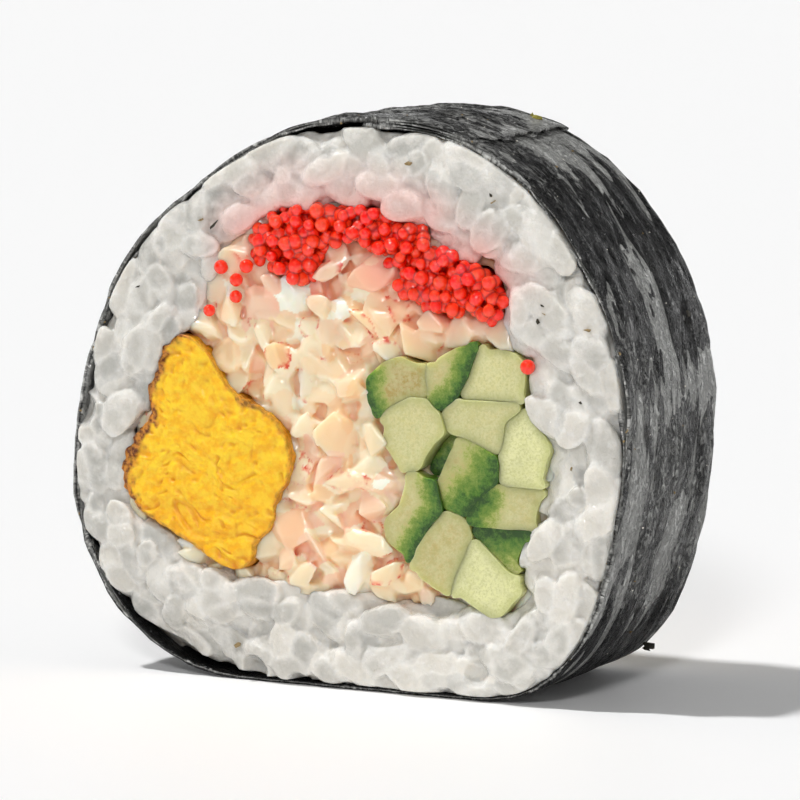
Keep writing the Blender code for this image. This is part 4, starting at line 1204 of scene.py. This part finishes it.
def make_bits(name, slot, finish, centres, sizes, rng, corners=9):
    """Hulls of a few corners on stretched balls, one for each centre, as one mesh."""
    centres, sizes = np.asarray(centres, float), np.asarray(sizes, float)
    local = on_balls(sizes, 0.6, 1.1, corners, rng)
    shell = bmesh.new()
    for bit in centres[:, None, :] + np.einsum("cpk,ckj->cpj", local, random_turns(len(centres), rng)):
        hull(shell, bit)
    made = put(name, as_mesh(shell, name))
    made.data.materials.append(finish)
    return place(made, slot)


def on_sheet(count, rng):
    """Points on the outer face of the sheet, away from the table."""
    at = points_of(seaweed)
    outside = np.flatnonzero((at[:, 2] > 2.0) & (np.abs(at[:, 1]) < HALF - 0.4))
    away = np.hypot(at[outside, 0], at[outside, 2] - RING_MIDDLE[1])
    turn = np.arctan2(at[outside, 0], at[outside, 2] - RING_MIDDLE[1])
    # Of the sheet's points only the outermost at their turn are kept.
    bins = ((turn + math.pi) / (2 * math.pi) * 240).astype(int)
    farthest = np.zeros(241)
    np.maximum.at(farthest, bins, away)
    outside = outside[away > farthest[bins] - 0.35]
    return at[rng.choice(outside, count, replace=False)]


def make_all_bits():
    """Every crumb and speck, each kind as one mesh."""
    rng = np.random.default_rng(77)
    salt = make_speck_finish("starch_points", "#e9e2d2", "#fffaf0", 0.3)
    bran = make_speck_finish("bran_bits", "#5c4a2c", "#b59c6c", 0.6)
    scrap = make_speck_finish("seaweed_scraps", "#0d0d0b", "#3a3420", 0.5)
    green = make_speck_finish("green_crumb", "#6f6a2a", "#b8ad4e", 0.6)
    at = on_sheet(170, rng)
    make_bits("starch_points", "seaweed", salt, at, rng.uniform(0.04, 0.11, (170, 1)) * np.ones((1, 3)), rng)
    at = on_sheet(34, rng)
    edge = points_of(seaweed)
    edge = edge[(edge[:, 1] < -HALF + 0.55) & (edge[:, 2] > 3.0)]
    edge = edge[rng.choice(len(edge), 20, replace=False)]
    places = np.vstack([at, edge, before_cut(BRAN, 0.35)])
    small = rng.uniform(0.07, 0.17, (54, 1)) * [1.6, 1.0, 0.7]
    large = rng.uniform(0.22, 0.42, (7, 1)) * [1.5, 0.6, 1.0]
    make_bits("bran_bits", "rice", bran, places, np.vstack([small, large]), rng)
    size = rng.uniform(0.15, 0.35, (7, 1)) * [1.8, 0.6, 0.9]
    where, wide = zip(*TORN)
    places = np.vstack([before_cut(SCRAPS, 0.45), where])
    make_bits("seaweed_scraps", "seaweed", scrap, places, np.vstack([size, wide]), rng)
    make_bits("green_crumb", "cucumber", green, *zip(*CRUMBS), rng)


make_all_bits()

# %% [markdown]
# ## Table, light and camera
# The table is a plain pale floor. A small bright key light stands high on the left, a little in front, and
# throws a crisp shadow to the right. A softbox lights the cut. The room round the table is white near the
# horizon and dimmer above.

# %% Stage
floor_mesh = bpy.data.meshes.new("floor")
REACH = 12.0
square = [(x * REACH, y * REACH, 0.0) for x, y in ((-1, -1), (1, -1), (1, 1), (-1, 1))]
floor_mesh.from_pydata(square, [], [(0, 1, 2, 3)])
floor_mesh.materials.append(new_finish("pale_table", Base_Color=colour("#f9f9f9"), Roughness=0.6)[0])
floor = put("floor", floor_mesh)

world = bpy.data.worlds.new("studio")
bpy.context.scene.world = world
world.use_nodes = True
sky = world.node_tree
way = add(sky, "SeparateXYZ", None, {0: add(sky, "TexCoord", result="Generated")}).node.outputs
low_down = add(sky, "MapRange", {"interpolation_type": "SMOOTHSTEP"}, {
    "Value": way["Z"], "From Min": 0.04, "From Max": 0.26, "To Min": 1.0, "To Max": 0.0})
behind = add(sky, "MapRange", {"interpolation_type": "SMOOTHSTEP"}, {
    "Value": way["Y"], "From Min": -0.3, "From Max": 0.5, "To Min": 0.15, "To Max": 1.0})
glow = add(sky, "Math", {"operation": "MULTIPLY"}, {0: low_down, 1: behind})
bright = add(sky, "MapRange", None, {"Value": glow, "To Min": 0.17, "To Max": 3.1})
sky.links.new(bright, sky.nodes["Background"].inputs["Strength"])
sky.nodes["Background"].inputs["Color"].default_value = (0.97, 0.97, 0.97, 1.0)

# The shadow shows how the key light falls: for each millimetre down it goes this far right and back.
KEY_RIGHT, KEY_BACK = 0.44, 0.2


def add_sun(name, energy, width, way):
    """A distant light of this width in degrees that shines along a direction."""
    light = bpy.data.lights.new(name, "SUN")
    light.energy = energy
    light.angle = math.radians(width)
    made = put(name, light)
    made.rotation_mode = "QUATERNION"
    made.rotation_quaternion = Vector(way).to_track_quat("-Z", "Y")


# The key light is small and bright. A large softbox in front, a little to the right, lights the cut.
add_sun("key", 2.38, 4.0, (KEY_RIGHT, KEY_BACK, -1.0))
add_sun("softbox", 1.08, 9.0, (-0.22, 0.86, -0.5))
slant = math.degrees(math.atan(math.hypot(KEY_RIGHT, KEY_BACK)))
print("the key light falls", round(slant), "degrees from upright")

# %% Camera
AZIMUTH, ELEVATION, ROLL = (math.radians(a) for a in (22.77, 6.56, 1.387))
DISTANCE, TARGET = 498.06 * MM, Vector((5.026, -11.0, 24.6)) * MM
LENS = 271.48
back = Vector((
    math.sin(AZIMUTH) * math.cos(ELEVATION), -math.cos(AZIMUTH) * math.cos(ELEVATION), math.sin(ELEVATION)))
right = Vector((math.cos(AZIMUTH), math.sin(AZIMUTH), 0.0))
up = back.cross(right)
right, up = right * math.cos(ROLL) + up * math.sin(ROLL), up * math.cos(ROLL) - right * math.sin(ROLL)
camera = put("camera", bpy.data.cameras.new("camera"))
camera.data.lens = LENS
camera.data.sensor_width = 36.0
camera.data.clip_start, camera.data.clip_end = 0.01, 50.0
camera.matrix_world = Matrix((
    (right.x, up.x, back.x, 0), (right.y, up.y, back.y, 0), (right.z, up.z, back.z, 0), (0, 0, 0, 1)))
camera.location = TARGET + back * DISTANCE
bpy.context.scene.camera = camera
bpy.context.scene.view_settings.view_transform = "Standard"
